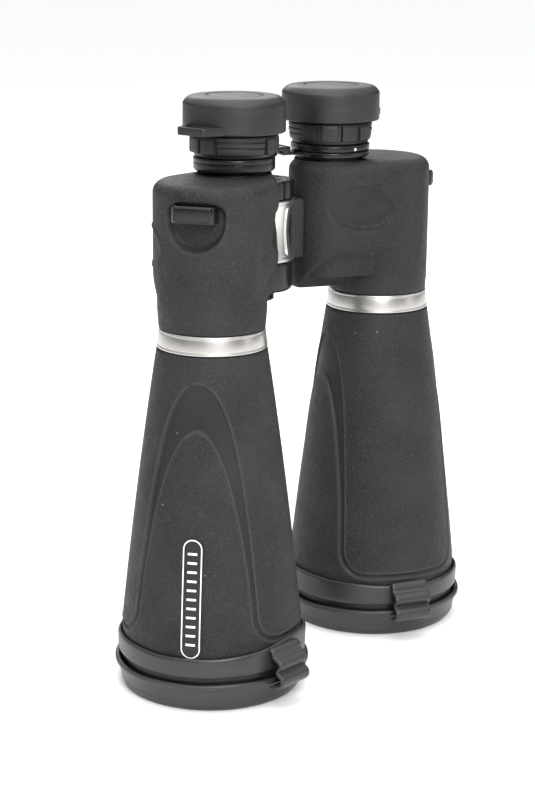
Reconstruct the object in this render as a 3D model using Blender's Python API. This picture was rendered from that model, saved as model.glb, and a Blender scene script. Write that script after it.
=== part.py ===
"""Giant Porro-prism binoculars, standing on their objective caps, eyepieces up.

Frame: +X is the user's right, +Y the top side in use, +Z from the objectives to the eyepieces.
The origin is the centre of the footprint, on the surface the caps stand on.
Each half is laid out in its own plan: u runs out from the hinge axis through the eyepiece axis
and the objective axis, v runs across it towards the top side.
"""
import math

import bmesh
import bpy
from mathutils import Matrix, Vector

MM = 0.001

# Plan of one half (mm)
TILT = math.radians(20.7)        # each half's u line drops this much below the X axis at rest
HINGE_Y = 27.7                   # hinge axis, above the footprint's centre line
OBJECTIVE_U = 70.9               # hinge axis to objective axis
EYEPIECE_U = 40.4                # hinge axis to eyepiece axis

# Heights (mm)
CAP_H = 14.4                     # objective cap
CAP_FLOOR = 2.6
BARREL_Z0 = 6.0                  # open front end of the barrel
RING_Z0, RING_Z1 = 18.5, 28.5    # rubber band that carries the objective cap
BAND_Z0, BAND_Z1 = 170.0, 179.2  # metal trim ring
HOUSING_Z0 = 179.5
LEDGE_Z = 183.5                  # underside of the housing's inner end
HOUSING_Z1 = 249.0
LUG_Z0, LUG_Z1 = 184.7, 199.3    # hinge lug of the left half
TUBE_Z1 = 231.0                  # top of the hinge tube of the right half
WHEEL_Z1 = 241.0
COLLAR_Z0, COLLAR_Z1 = 250.4, 257.2
GRIP_Z1 = 268.2                  # top of the eyecup's grip ring
EYECAP_Z0, EYECAP_Z1 = 268.9, 284.9

# Radii (mm)
BARREL_R = 44.2
BAND_R0, BAND_R1 = 26.7, 25.5    # trim ring, lower and upper edge
CAP_R, CAP_FOOT_R = 48.0, 42.7
RING_R = 46.4
LENS_R = 35.0                    # 70 mm objective
HOUSING_RO, HOUSING_RI = 30.2, 21.0   # housing's outer and inner end
HOUSING_SHIFT = 5.0              # its outer end is centred this far inside the objective axis
CAVITY_RO, CAVITY_RI = 22.0, 18.8
POCKET_U = 19.0                  # objective axis to the floor of the strap lug's pocket
LUG_U = 27.4                     # objective axis to the outer face of the strap lug
TUBE_R = 16.5                    # hinge tube
AXLE_R = 4.0
NECK_R = 17.2                    # eyepiece tube
COLLAR_R = 19.9
GRIP_R = 23.0
EYECUP_R = 22.6
EYECAP_R = 25.2

GAP = 0.3                        # between pieces that touch or nest
BEARING = 0.12                   # radial play of a turning fit
STEPS = 28                       # sides of a large round piece
STEPS_SMALL = 20

# Hinge of an objective cap's strap, outside the cap's rim (mm)
STRAP_R, STRAP_Z = 51.0, 15.5
STRAP_ANGLE = {-1: -92.0, 1: -119.0}   # degrees in plan, left and right
STRAP_W = 19.0

SIDES = {-1: "left", 1: "right"}

RUBBER = ("armour_rubber", (0.035, 0.036, 0.038), 0.62, 0.0)
SOFT_CAP = ("cap_rubber", (0.045, 0.046, 0.048), 0.55, 0.0)
BLACK_METAL = ("black_metal", (0.015, 0.015, 0.016), 0.28, 0.3)
SILVER = ("satin_aluminium", (0.62, 0.60, 0.58), 0.32, 1.0)
STEEL = ("steel", (0.55, 0.55, 0.56), 0.3, 1.0)
BRASS = ("brass", (0.72, 0.54, 0.24), 0.35, 1.0)
GLASS = ("coated_glass", (0.55, 0.62, 0.66), 0.05, 0.0)


def clear_scene():
    """Empty the scene."""
    for obj in list(bpy.data.objects):
        bpy.data.objects.remove(obj, do_unlink=True)


def material(spec):
    """A Principled material from (name, colour, roughness, metallic)."""
    name, colour, roughness, metallic = spec
    mat = bpy.data.materials.get(name)
    if mat is None:
        mat = bpy.data.materials.new(name)
        mat.use_nodes = True
        shader = mat.node_tree.nodes["Principled BSDF"]
        shader.inputs["Base Color"].default_value = (*colour, 1.0)
        shader.inputs["Roughness"].default_value = roughness
        shader.inputs["Metallic"].default_value = metallic
    return mat


def plan_point(side, u, v=0.0):
    """(x, y) in mm of a point of one half's plan."""
    x = side * (u * math.cos(TILT) + v * math.sin(TILT))
    y = HINGE_Y - u * math.sin(TILT) + v * math.cos(TILT)
    return x, y


def plan_matrix(side):
    """From a half's own plan (u, v, z) to the object's frame."""
    x0, y0 = plan_point(side, 0.0)
    ux, uy = plan_point(side, 1.0)
    vx, vy = plan_point(side, 0.0, 1.0)
    rows = (ux - x0, vx - x0, 0, x0), (uy - y0, vy - y0, 0, y0), (0, 0, 1, 0), (0, 0, 0, 1)
    return Matrix(rows)


def add_object(name, bm, spec, origin):
    """Turn a bmesh in mm, in the object's frame, into a named object with its origin there."""
    bm.transform(Matrix.Translation(-Vector(origin)))
    bmesh.ops.scale(bm, vec=(MM, MM, MM), verts=bm.verts)
    mesh = bpy.data.meshes.new(name)
    bm.to_mesh(mesh)
    bm.free()
    mesh.shade_smooth()
    mesh.set_sharp_from_angle(angle=math.radians(35))
    mesh.materials.append(material(spec))
    obj = bpy.data.objects.new(name, mesh)
    obj.location = Vector(origin) * MM
    bpy.context.scene.collection.objects.link(obj)
    return obj


def to_frame(bm, side):
    """Move a bmesh from a half's plan into the object's frame, faces still pointing out."""
    bm.transform(plan_matrix(side))
    if side < 0:
        bmesh.ops.reverse_faces(bm, faces=bm.faces)
    return bm


def lathe(profile, steps=STEPS, centre=(0.0, 0.0)):
    """Turn a closed (r, z) outline about a vertical axis; up its outer side, down its inner side."""
    bm = bmesh.new()
    rings = []
    for r, z in profile:
        if r < 1e-6:
            vert = bm.verts.new((centre[0], centre[1], z))
            rings.append([vert] * steps)
            continue
        ring = []
        for k in range(steps):
            a = 2 * math.pi * k / steps
            ring.append(bm.verts.new((centre[0] + r * math.cos(a), centre[1] + r * math.sin(a), z)))
        rings.append(ring)
    for i, ring in enumerate(rings):
        upper = rings[(i + 1) % len(rings)]
        if ring[0] is ring[1] and upper[0] is upper[1]:
            continue
        for k in range(steps):
            j = (k + 1) % steps
            corners = []
            for vert in (ring[k], ring[j], upper[j], upper[k]):
                if vert not in corners:
                    corners.append(vert)
            bm.faces.new(corners)
    return bm


def tube(r_in, r_out, z0, z1, steps=STEPS, centre=(0.0, 0.0)):
    """A plain ring."""
    return lathe([(r_in, z0), (r_out, z0), (r_out, z1), (r_in, z1)], steps, centre)


def rod(r, z0, z1, steps=STEPS_SMALL, centre=(0.0, 0.0)):
    """A plain round bar."""
    return lathe([(0, z0), (r, z0), (r, z1), (0, z1)], steps, centre)


def lens(r, z_low, z_high, bulge_low, bulge_high, rings=2):
    """Outline of a lens: its two faces stand out of its edge by the bulges."""
    lower, upper = [], []
    for k in range(rings + 1):
        t = k / rings
        lower.append((r * t, z_low - bulge_low * (1 - t * t)))
        upper.append((r * (1 - t), z_high + bulge_high * (1 - (1 - t) ** 2)))
    return lower + upper


def loft(rings):
    """Skin a stack of closed outlines, lowest first, each anticlockwise from above."""
    bm = bmesh.new()
    layers = []
    for ring in rings:
        layers.append([bm.verts.new(p) for p in ring])
    for low, high in zip(layers, layers[1:]):
        for k, vert in enumerate(low):
            j = (k + 1) % len(low)
            bm.faces.new((vert, low[j], high[j], high[k]))
    bm.faces.new(list(reversed(layers[0])))
    bm.faces.new(layers[-1])
    return bm


def block(u0, u1, v0, v1, z0, z1):
    """A box in a half's plan."""
    corners = ((u0, v0), (u1, v0), (u1, v1), (u0, v1))
    return loft([[(u, v, z) for u, v in corners] for z in (z0, z1)])


def egg(r_out, shift, r_in, z, outer_steps=17, inner_steps=11):
    """Outline in plan: an outer arc centred near the objective axis, an inner one on the eyepiece axis."""
    centre_u = OBJECTIVE_U - shift
    turn = math.acos((r_in - r_out) / (centre_u - EYEPIECE_U))
    ring = []
    for k in range(outer_steps):
        a = -turn + 2 * turn * k / (outer_steps - 1)
        ring.append((centre_u + r_out * math.cos(a), r_out * math.sin(a), z))
    for k in range(inner_steps):
        a = turn + (2 * math.pi - 2 * turn) * k / (inner_steps - 1)
        ring.append((EYEPIECE_U + r_in * math.cos(a), r_in * math.sin(a), z))
    return ring


def round_end(r, z, outer_steps=17, inner_steps=11):
    """A circle round the objective axis, with as many corners as egg()."""
    turn = math.radians(104)
    margin = 0.02
    ring = []
    for k in range(outer_steps):
        a = -turn + 2 * turn * k / (outer_steps - 1)
        ring.append((OBJECTIVE_U + r * math.cos(a), r * math.sin(a), z))
    for k in range(inner_steps):
        a = turn + margin + 2 * (math.pi - turn - margin) * k / (inner_steps - 1)
        ring.append((OBJECTIVE_U + r * math.cos(a), r * math.sin(a), z))
    return ring


def boolean(obj, cutter_bm, operation="DIFFERENCE"):
    """Cut or join a bmesh given in the object's frame; the cutter stays as a hidden guide."""
    index = len(obj.modifiers) + 1
    cutter = add_object(f"{obj.name}_tool_{index}", cutter_bm, RUBBER, (0, 0, 0))
    cutter.hide_render = True
    cutter.display_type = "WIRE"
    mod = obj.modifiers.new(f"{operation.lower()}_{index}", "BOOLEAN")
    mod.operation = operation
    mod.solver = "EXACT"
    mod.object = cutter


def barrel_r(z):
    """Outer radius of the flared objective barrel."""
    mid_z, mid_r, slope, curve = 103.0, 36.1, -0.1295, -0.000183
    d = z - mid_z
    return min(mid_r + slope * d + curve * d * d, BARREL_R)


def objective_end(side):
    """Barrel, trim ring, lens cell, lenses, cap band and cap of one half."""
    name = SIDES[side]
    axis = (*plan_point(side, OBJECTIVE_U), 0.0)
    c = axis[:2]
    wall = 2.2
    spigot_r = 23.4
    levels = [BARREL_Z0, 36.0, 70.0, 105.0, 140.0, BAND_Z0 - GAP]
    outer = [(barrel_r(z), z) for z in levels]
    inner = [(barrel_r(z) - wall, z) for z in (105.0, 36.0)]
    profile = outer + [(spigot_r, BAND_Z0 - GAP), (spigot_r, BAND_Z1), (spigot_r - wall, BAND_Z1)]
    profile += [(spigot_r - wall, BAND_Z0 - 4)] + inner + [(BARREL_R - wall, BARREL_Z0)]
    add_object(f"{name}_objective_barrel", lathe(profile, STEPS, c), RUBBER, axis)

    ring = [(spigot_r + GAP, BAND_Z0), (BAND_R0, BAND_Z0), (BAND_R1, BAND_Z1), (spigot_r + GAP, BAND_Z1)]
    add_object(f"{name}_trim_ring", lathe(ring, STEPS, c), SILVER, axis)

    bore_r = BARREL_R - wall
    cell = [(LENS_R - 1.2, 9.0), (bore_r - GAP, 9.0), (bore_r - GAP, 25.0), (LENS_R + GAP, 25.0),
            (LENS_R + GAP, 10.2), (LENS_R - 1.2, 10.2)]
    add_object(f"{name}_objective_cell", lathe(cell, STEPS, c), BLACK_METAL, axis)
    crown = lens(LENS_R, 13.0, 15.5, 1.6, 3.4)
    add_object(f"{name}_crown_lens", lathe(crown, STEPS_SMALL, c), GLASS, axis)
    flint = lens(LENS_R, 19.3, 24.6, 0.0, -1.5)
    add_object(f"{name}_flint_lens", lathe(flint, STEPS_SMALL, c), GLASS, axis)

    band = [(BARREL_R + GAP, RING_Z0), (RING_R - 0.6, RING_Z0), (RING_R, RING_Z0 + 1.2),
            (RING_R, RING_Z1 - 1.2), (RING_R - 0.6, RING_Z1), (BARREL_R + GAP, RING_Z1)]
    ring_obj = add_object(f"{name}_cap_band", lathe(band, STEPS, c), SOFT_CAP, axis)
    boolean(ring_obj, strap_tab(side, RING_R - 1.0, STRAP_R + 0.8, RING_Z0 + 1.0, RING_Z1 + 1.5), "UNION")

    cap = [(0, 0), (CAP_FOOT_R, 0), (CAP_FOOT_R + 1.0, 1.2), (CAP_R - 1.0, 8.6), (CAP_R, 9.8),
           (CAP_R, CAP_H - 0.8), (CAP_R - 0.8, CAP_H), (BARREL_R + 1.0, CAP_H),
           (BARREL_R + 1.0, CAP_FLOOR), (0, CAP_FLOOR)]
    cap_obj = add_object(f"{name}_objective_cap", lathe(cap, STEPS, c), SOFT_CAP, strap_hinge(side))
    boolean(cap_obj, strap_tab(side, CAP_R - 1.5, STRAP_R + 2.0, 3.5, STRAP_Z - 3.0), "UNION")


def strap_hinge(side):
    """Middle of a cap's strap hinge, in mm."""
    a = math.radians(STRAP_ANGLE[side])
    x, y = plan_point(side, OBJECTIVE_U)
    return x + STRAP_R * math.cos(a), y + STRAP_R * math.sin(a), STRAP_Z


def strap_tab(side, r0, r1, z0, z1):
    """Block that stands out of a band or cap where the strap is moulded on."""
    half = STRAP_W / 2
    bm = loft([[(r0, -half, z), (r1, -half, z), (r1, half, z), (r0, half, z)] for z in (z0, z1)])
    x, y = plan_point(side, OBJECTIVE_U)
    turn = Matrix.Rotation(math.radians(STRAP_ANGLE[side]), 4, "Z")
    bm.transform(Matrix.Translation((x, y, 0)) @ turn)
    return bm


def housing(side):
    """Rubber-armoured prism housing of one half, open below to the barrel and above to the eyepiece."""
    name = SIDES[side]
    fillet = 5.0
    rings = [round_end(BAND_R1 + 0.2, HOUSING_Z0), round_end(BAND_R1 + 0.9, LEDGE_Z - 0.1)]
    rings.append(egg(BAND_R1 + 1.2, 1.0, HOUSING_RI - 1.0, LEDGE_Z))
    rings.append(egg(HOUSING_RO - 2.6, 2.4, HOUSING_RI, LEDGE_Z + 5))
    rings.append(egg(HOUSING_RO, HOUSING_SHIFT, HOUSING_RI, 206.0))
    for k in range(4):
        t = math.radians(30 * k)
        inset = fillet * (1 - math.cos(t))
        z = HOUSING_Z1 - fillet + fillet * math.sin(t)
        rings.append(egg(HOUSING_RO - inset, HOUSING_SHIFT, HOUSING_RI - inset, z))
    shell = add_object(f"{name}_prism_housing", to_frame(loft(rings), side), RUBBER,
                       (*plan_point(side, 0.0), 0.0))
    cavity = loft([egg(CAVITY_RO, HOUSING_SHIFT, CAVITY_RI, z, 13, 9) for z in (190.0, 243.0)])
    boolean(shell, to_frame(cavity, side))
    light_in = rod(19.5, HOUSING_Z0 - 2, 192.0, STEPS_SMALL, (OBJECTIVE_U, 0))
    boolean(shell, to_frame(light_in, side))
    neck_bore = rod(NECK_R + GAP, 241.0, HOUSING_Z1 + 2, STEPS, (EYEPIECE_U, 0))
    boolean(shell, to_frame(neck_bore, side))
    boolean(shell, to_frame(lug_recess(), side))


def slab(points):
    """Closed solid between two equal outlines, its points given in pairs from near to far."""
    bm = bmesh.new()
    near = [bm.verts.new(point) for point in points[::2]]
    far = [bm.verts.new(point) for point in points[1::2]]
    for k, vert in enumerate(near):
        j = (k + 1) % len(near)
        bm.faces.new((vert, near[j], far[j], far[k]))
    bm.faces.new(list(reversed(near)))
    bm.faces.new(far)
    bmesh.ops.recalc_face_normals(bm, faces=bm.faces)
    return bm


def lug_recess():
    """Half-round pocket in the housing's outer end that the strap passes through."""
    floor_u, reach, r, centre_z, top_z = OBJECTIVE_U + POCKET_U, 9.0, 14.5, 231.0, 242.5
    outline = [(r, top_z), (-r, top_z)]
    for k in range(9):
        a = math.pi + math.pi * k / 8
        outline.append((r * math.cos(a), centre_z + r * math.sin(a)))
    return slab([(u, v, z) for v, z in outline for u in (floor_u, floor_u + reach)])


def strap_lug(side):
    """Bridge over the pocket, for the neck strap."""
    name = SIDES[side]
    foot_u = OBJECTIVE_U + POCKET_U + GAP
    bar_u0, bar_u1 = OBJECTIVE_U + LUG_U - 2.2, OBJECTIVE_U + LUG_U
    half, leg, z0, z1 = 10.4, 2.4, 232.4, 240.4
    outline = [(foot_u, -half), (bar_u1 - 1, -half), (bar_u1, -half + 1), (bar_u1, half - 1),
               (bar_u1 - 1, half), (foot_u, half), (foot_u, half - leg), (bar_u0, half - leg),
               (bar_u0, leg - half), (foot_u, leg - half)]
    bm = to_frame(loft([[(u, v, z) for u, v in outline] for z in (z0, z1)]), side)
    add_object(f"{name}_strap_lug", bm, BLACK_METAL, (*plan_point(side, foot_u), z0))


def prism(side, label, middle, along, z_base, z_tip):
    """Porro prism: a triangular bar that turns the light back, its base on the shelf."""
    half_l, half_w, blunt = 13.0, 5.0, 2.0
    edge = z_base + math.copysign(blunt, z_tip - z_base)
    outline = [(-half_l, z_base), (half_l, z_base), (half_l, edge), (blunt, z_tip), (-blunt, z_tip),
               (-half_l, edge)]
    bm = slab([(s, v, z) for s, z in outline for v in (-half_w, half_w)])
    bm.transform(Matrix.Translation((middle[0], middle[1], 0)) @ Matrix.Rotation(along, 4, "Z"))
    add_object(f"{SIDES[side]}_{label}", to_frame(bm, side), GLASS,
               (*plan_point(side, *middle), z_base))


def optics(side):
    """Two crossed prisms on a shelf with three light ports."""
    name = SIDES[side]
    step = (OBJECTIVE_U - EYEPIECE_U) / 4
    shelf_z0, shelf_z1 = 213.0, 215.0
    prism(side, "upper_prism", (OBJECTIVE_U - step, step), math.radians(135), shelf_z1 + GAP, 228.0)
    prism(side, "lower_prism", (EYEPIECE_U + step, step), math.radians(45), shelf_z0 - GAP, 200.0)
    plate = loft([egg(CAVITY_RO - GAP, HOUSING_SHIFT, CAVITY_RI - GAP, z, 13, 9)
                  for z in (shelf_z0, shelf_z1)])
    shelf = add_object(f"{name}_prism_shelf", to_frame(plate, side), BLACK_METAL,
                       (*plan_point(side, EYEPIECE_U), shelf_z0))
    ports = ((OBJECTIVE_U, 0.0), (OBJECTIVE_U - 2 * step, 2 * step), (EYEPIECE_U, 0.0))
    for port in ports:
        boolean(shelf, to_frame(rod(4.6, shelf_z0 - 1, shelf_z1 + 1, 16, port), side))


def eyepiece(side):
    """Focusing tube, lenses, grip ring, eyecup and slip-on cap of one eyepiece."""
    name = SIDES[side]
    axis = (*plan_point(side, EYEPIECE_U), 0.0)
    c = axis[:2]
    bore = 14.4
    body = [(bore, 236.0), (NECK_R - GAP, 236.0), (NECK_R - GAP, 270.0), (bore, 270.0)]
    add_object(f"{name}_eyepiece_tube", lathe(body, STEPS, c), BLACK_METAL, axis)
    field = lens(bore - GAP, 240.0, 243.0, 1.5, 2.0)
    add_object(f"{name}_field_lens", lathe(field, STEPS_SMALL, c), GLASS, axis)
    eye = lens(bore - GAP, 262.0, 266.0, 2.0, 2.5)
    add_object(f"{name}_eye_lens", lathe(eye, STEPS_SMALL, c), GLASS, axis)

    grip_z0, step_z = COLLAR_Z1 + 0.4, 262.0
    sleeve_r = EYECUP_R - 2.6
    grip = [(NECK_R, grip_z0), (GRIP_R - 2.4, grip_z0), (GRIP_R, grip_z0 + 5), (GRIP_R, GRIP_Z1),
            (sleeve_r + GAP, GRIP_Z1), (sleeve_r + GAP, step_z), (NECK_R, step_z)]
    add_object(f"{name}_eyecup_ring", lathe(grip, STEPS, c), SOFT_CAP, axis)
    flange_z0, rim_z, cup_r = GRIP_Z1 + 0.4, 281.4, NECK_R + 1.2
    cup = [(cup_r, step_z + 0.4), (sleeve_r, step_z + 0.4), (sleeve_r, flange_z0),
           (EYECUP_R, flange_z0), (EYECUP_R, rim_z - 1), (EYECUP_R - 1, rim_z), (cup_r, rim_z)]
    add_object(f"{name}_eyecup", lathe(cup, STEPS, c), SOFT_CAP, axis)
    eyepiece_cap(side, c)


def eyepiece_cap(side, c):
    """Soft slip-on cap with a flat loop at its rim for the neck strap."""
    bevel, inner_r, roof = 3.6, EYECUP_R + 0.4, 281.9
    cap = [(inner_r, EYECAP_Z0), (EYECAP_R, EYECAP_Z0), (EYECAP_R, EYECAP_Z1 - bevel)]
    for k in (1, 2, 3):
        t = math.radians(30 * k)
        cap.append((EYECAP_R - bevel * (1 - math.cos(t)), EYECAP_Z1 - bevel * (1 - math.sin(t))))
    cap += [(0, EYECAP_Z1), (0, roof), (inner_r, roof)]
    obj = add_object(f"{SIDES[side]}_eyepiece_cap", lathe(cap, STEPS, c), SOFT_CAP, (*c, EYECAP_Z0))
    loop_z0, loop_z1 = EYECAP_Z0 + 0.3, EYECAP_Z0 + 4.2
    plate = loop_outline(EYECAP_R - 1.0, 12.5, 32.4, 8.0)
    slot = loop_outline(EYECAP_R + 0.1, 8.6, 30.2, 6.2)
    for outline, z0, z1, kind in ((plate, loop_z0, loop_z1, "UNION"),
                                  (slot, loop_z0 - 1, loop_z1 + 1, "DIFFERENCE")):
        bm = loft([[(x, y, z) for x, y in outline] for z in (z0, z1)])
        if side < 0:
            bmesh.ops.rotate(bm, verts=bm.verts, matrix=Matrix.Rotation(math.pi, 3, "Z"))
        bm.transform(Matrix.Translation((*c, 0)))
        boolean(obj, bm, kind)


def loop_outline(root_r, root_half, reach, tip_half):
    """Outline that points along +X: a blunt tip, and a root that follows a circle about the axis."""
    spread = math.asin(root_half / root_r)
    outline = [(reach, -tip_half), (reach, tip_half)]
    for k in range(9):
        a = spread * (1 - k / 4)
        outline.append((root_r * math.cos(a), root_r * math.sin(a)))
    return outline


def hinge():
    """Lug, tube and axle of the folding hinge, with the tripod socket and its cover."""
    centre = (0.0, HINGE_Y)
    axis = (*centre, 0.0)
    web_half, web_u = 9.0, EYEPIECE_U - HOUSING_RI - 0.4
    socket_r, socket_z1 = 7.0, 193.5

    lug = add_object("left_hinge_lug", lathe(
        [(AXLE_R, socket_z1 + GAP), (socket_r + 0.5, socket_z1 + GAP), (socket_r + 0.5, LUG_Z0),
         (TUBE_R - 0.5, LUG_Z0), (TUBE_R - 0.5, LUG_Z1), (AXLE_R, LUG_Z1)], STEPS, centre),
        BLACK_METAL, axis)
    web = block(TUBE_R - 3.0, web_u, -web_half, web_half, LUG_Z0 + 2.2, LUG_Z1 - 0.6)
    boolean(lug, to_frame(web, -1), "UNION")

    sleeve = add_object("right_hinge_tube", lathe(
        [(AXLE_R + BEARING, LUG_Z1 + 0.4), (TUBE_R, LUG_Z1 + 0.4), (TUBE_R, TUBE_Z1),
         (AXLE_R + BEARING, TUBE_Z1)], STEPS, centre), SILVER, axis)
    web = block(TUBE_R - 3.0, web_u, -web_half, web_half, LUG_Z1 + 4.0, TUBE_Z1 - 4.0)
    boolean(sleeve, to_frame(web, 1), "UNION")

    screw_r = 2.4
    axle_z0, axle_z1 = socket_z1 + 0.6, TUBE_Z1 - 0.2
    axle = lathe([(0, axle_z0), (AXLE_R - 0.02, axle_z0), (AXLE_R - 0.02, axle_z1),
                  (screw_r + GAP, axle_z1), (screw_r + GAP, 205.0), (0, 205.0)], STEPS, centre)
    add_object("hinge_axle", axle, STEEL, axis)

    socket = tube(3.2, socket_r, LUG_Z0 + GAP, socket_z1, STEPS_SMALL, centre)
    add_object("tripod_socket", socket, BRASS, axis)
    cover = lathe([(0, 178.9), (6.2, 178.9), (7.0, 179.7), (7.0, LUG_Z0 - GAP), (2.8, LUG_Z0 - GAP),
                   (2.8, 190.5), (0, 190.5)], STEPS_SMALL, centre)
    add_object("tripod_cover", cover, BLACK_METAL, axis)
    focus(centre, axis, screw_r)


def focus(centre, axis, screw_r):
    """Focus wheel, its screw, and the bridge that carries both eyepieces."""
    scallops, depth, wheel_r = 12, 0.7, 17.0
    rings = []
    for z, inset in ((TUBE_Z1 + 0.4, 0.8), (TUBE_Z1 + 1.2, 0.0), (WHEEL_Z1 - 0.8, 0.0), (WHEEL_Z1, 0.8)):
        ring = []
        for k in range(scallops * 4):
            a = 2 * math.pi * k / (scallops * 4)
            r = wheel_r - inset - depth * (0.5 + 0.5 * math.cos(scallops * a)) ** 2
            ring.append((centre[0] + r * math.cos(a), centre[1] + r * math.sin(a), z))
        rings.append(ring)
    wheel = add_object("focus_wheel", loft(rings), RUBBER, axis)
    boolean(wheel, rod(screw_r + 0.4, TUBE_Z1 - 1, WHEEL_Z1 + 1, STEPS_SMALL, centre))

    arm_z0, arm_z1 = 252.4, 256.8
    split_z = 254.6
    add_object("focus_screw", rod(screw_r, 211.0, arm_z0 - GAP, STEPS_SMALL, centre), STEEL, axis)
    hub_r, hub_bore, arm_half = 8.0, 2.3, 5.5
    for side in SIDES:
        low, high = (arm_z0, split_z - 0.15) if side < 0 else (split_z + 0.15, arm_z1)
        collar_z1 = COLLAR_Z1 if side < 0 else 253.6
        eye = plan_point(side, EYEPIECE_U)
        collar = tube(NECK_R, COLLAR_R, COLLAR_Z0, collar_z1, STEPS, eye)
        arm = add_object(f"{SIDES[side]}_bridge_arm", collar, BLACK_METAL, axis)
        hub = tube(hub_bore, hub_r, low, high, STEPS_SMALL, centre)
        boolean(arm, hub, "UNION")
        top = arm_z1 if side < 0 else 253.4
        bar = block(hub_r + 1.0, EYEPIECE_U - NECK_R - 1.0, -arm_half, arm_half, arm_z0, top)
        if side > 0:
            bar = stepped_bar(hub_r, arm_half, arm_z0, low, high, top)
        boolean(arm, to_frame(bar, side), "UNION")
        if side < 0:
            root = block(hub_r - 2.0, hub_r + 2.0, -arm_half, arm_half, low + 0.02, high - 0.02)
            boolean(arm, to_frame(root, side), "UNION")
    head = lathe([(0, arm_z0 + 0.3), (hub_bore - GAP, arm_z0 + 0.3), (hub_bore - GAP, arm_z1 + GAP),
                  (5.0, arm_z1 + GAP), (5.0, arm_z1 + 1.8), (4.2, arm_z1 + 2.6), (0, arm_z1 + 2.6)],
                 STEPS_SMALL, centre)
    add_object("bridge_screw", head, STEEL, axis)
    eye = plan_point(1, EYEPIECE_U)
    ring = tube(NECK_R, COLLAR_R + 0.3, 253.9, COLLAR_Z1, STEPS, eye)
    add_object("diopter_ring", ring, BLACK_METAL, (*eye, 0.0))


def stepped_bar(hub_r, half, z0, low, high, top):
    """Right bridge arm: its inner end steps up over the left arm's hub."""
    outline = [(hub_r - 2.0, low), (hub_r + 1.5, low), (hub_r + 1.5, z0), (EYEPIECE_U - NECK_R - 1.0, z0),
               (EYEPIECE_U - NECK_R - 1.0, top), (hub_r + 6.0, top), (hub_r + 6.0, high), (hub_r - 2.0, high)]
    return slab([(u, v, z) for u, z in outline for v in (-half, half)])


def build():
    """Model every piece."""
    clear_scene()
    for side in SIDES:
        objective_end(side)
        housing(side)
        strap_lug(side)
        optics(side)
        eyepiece(side)
    hinge()


build()
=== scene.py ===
import math

import bmesh
import bpy
import numpy as np
from mathutils import Matrix, Vector


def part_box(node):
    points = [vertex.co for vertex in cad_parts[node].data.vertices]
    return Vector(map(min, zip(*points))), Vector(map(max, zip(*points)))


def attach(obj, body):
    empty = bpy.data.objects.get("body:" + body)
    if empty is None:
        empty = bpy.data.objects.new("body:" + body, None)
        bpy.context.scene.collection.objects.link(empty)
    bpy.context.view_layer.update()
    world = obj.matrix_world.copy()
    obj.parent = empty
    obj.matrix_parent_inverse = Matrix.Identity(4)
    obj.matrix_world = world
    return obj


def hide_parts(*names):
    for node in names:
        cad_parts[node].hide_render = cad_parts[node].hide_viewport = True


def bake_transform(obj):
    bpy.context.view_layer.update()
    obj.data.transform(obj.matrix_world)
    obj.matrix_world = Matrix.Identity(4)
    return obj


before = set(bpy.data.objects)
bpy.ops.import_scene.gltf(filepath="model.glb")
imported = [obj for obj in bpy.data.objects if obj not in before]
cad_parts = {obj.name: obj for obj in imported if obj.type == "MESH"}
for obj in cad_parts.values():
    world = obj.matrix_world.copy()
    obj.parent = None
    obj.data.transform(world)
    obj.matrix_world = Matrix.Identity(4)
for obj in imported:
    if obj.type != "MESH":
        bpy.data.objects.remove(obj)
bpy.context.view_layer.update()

# Everything below is worked out in millimetres and goes into the meshes in metres.
MM = 0.001
SIDES = {-1: "left", 1: "right"}
TURN = 2 * math.pi


# ---------------------------------------------------------------- places, from the frame

def span(node):
    """Lowest and highest corner of a CAD node, in mm."""
    low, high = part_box(node)
    return np.array(low) / MM, np.array(high) / MM


def plan_centre(node):
    """Middle of a node in plan: the axis of a round one."""
    low, high = span(node)
    return ((low + high) / 2)[:2]


def heights(node):
    """Lowest and highest z of a node."""
    low, high = span(node)
    return low[2], high[2]


def radius(node):
    """Radius of a round node."""
    low, high = span(node)
    return (high[0] - low[0]) / 2


HINGE = plan_centre("focus_wheel")
BARREL_Z0 = heights("left_objective_barrel")[0]
BARREL_R = radius("left_objective_barrel")
BAND_Z0, BAND_Z1 = heights("left_trim_ring")
BAND_R = radius("left_trim_ring")
HOUSING_Z0, HOUSING_Z1 = heights("left_prism_housing")
LUG_Z0, LUG_Z1 = heights("left_hinge_lug")
TUBE_Z0, TUBE_Z1 = heights("right_hinge_tube")
WHEEL_Z0, WHEEL_Z1 = heights("focus_wheel")
WHEEL_R = radius("focus_wheel")
COLLAR_Z0, COLLAR_Z1 = heights("left_bridge_arm")
GRIP_Z0, GRIP_Z1 = heights("left_eyecup_ring")
GRIP_R = radius("left_eyecup_ring")
CUP_Z0, CUP_Z1 = heights("left_eyecup")
CUP_R = radius("left_eyecup")
EYECAP_Z0, EYECAP_Z1 = heights("left_eyepiece_cap")


class Half:
    """One half's own plan: u runs out from the hinge axis, v across it towards the top side."""

    def __init__(self, side):
        self.side = side
        self.name = SIDES[side]
        self.body = f"{self.name}_half"
        self.objective = plan_centre(f"{self.name}_trim_ring")
        self.eye = plan_centre(f"{self.name}_eyecup")
        out = self.objective - HINGE
        self.u = out / np.linalg.norm(out)
        self.v = side * np.array([-self.u[1], self.u[0]])
        self.objective_u = float(np.linalg.norm(out))
        self.eye_u = float(np.linalg.norm(self.eye - HINGE))

    def radius(self, part):
        """Radius of one of this half's round nodes."""
        return radius(f"{self.name}_{part}")

    def piece(self, name, shapes, look, replaces=(), body="half", **options):
        """A visible piece named after this half; its body and the nodes it replaces are this half's own."""
        nodes = [f"{self.name}_{part}" for part in replaces]
        piece(f"{self.name}_{name}", shapes, look, f"{self.name}_{body}", nodes, **options)

    def place(self, points):
        """From (u, v, z) to the object's frame."""
        points = np.asarray(points, float)
        flat = HINGE + points[..., :1] * self.u + points[..., 1:2] * self.v
        return np.concatenate([flat, points[..., 2:]], axis=-1)


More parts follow.
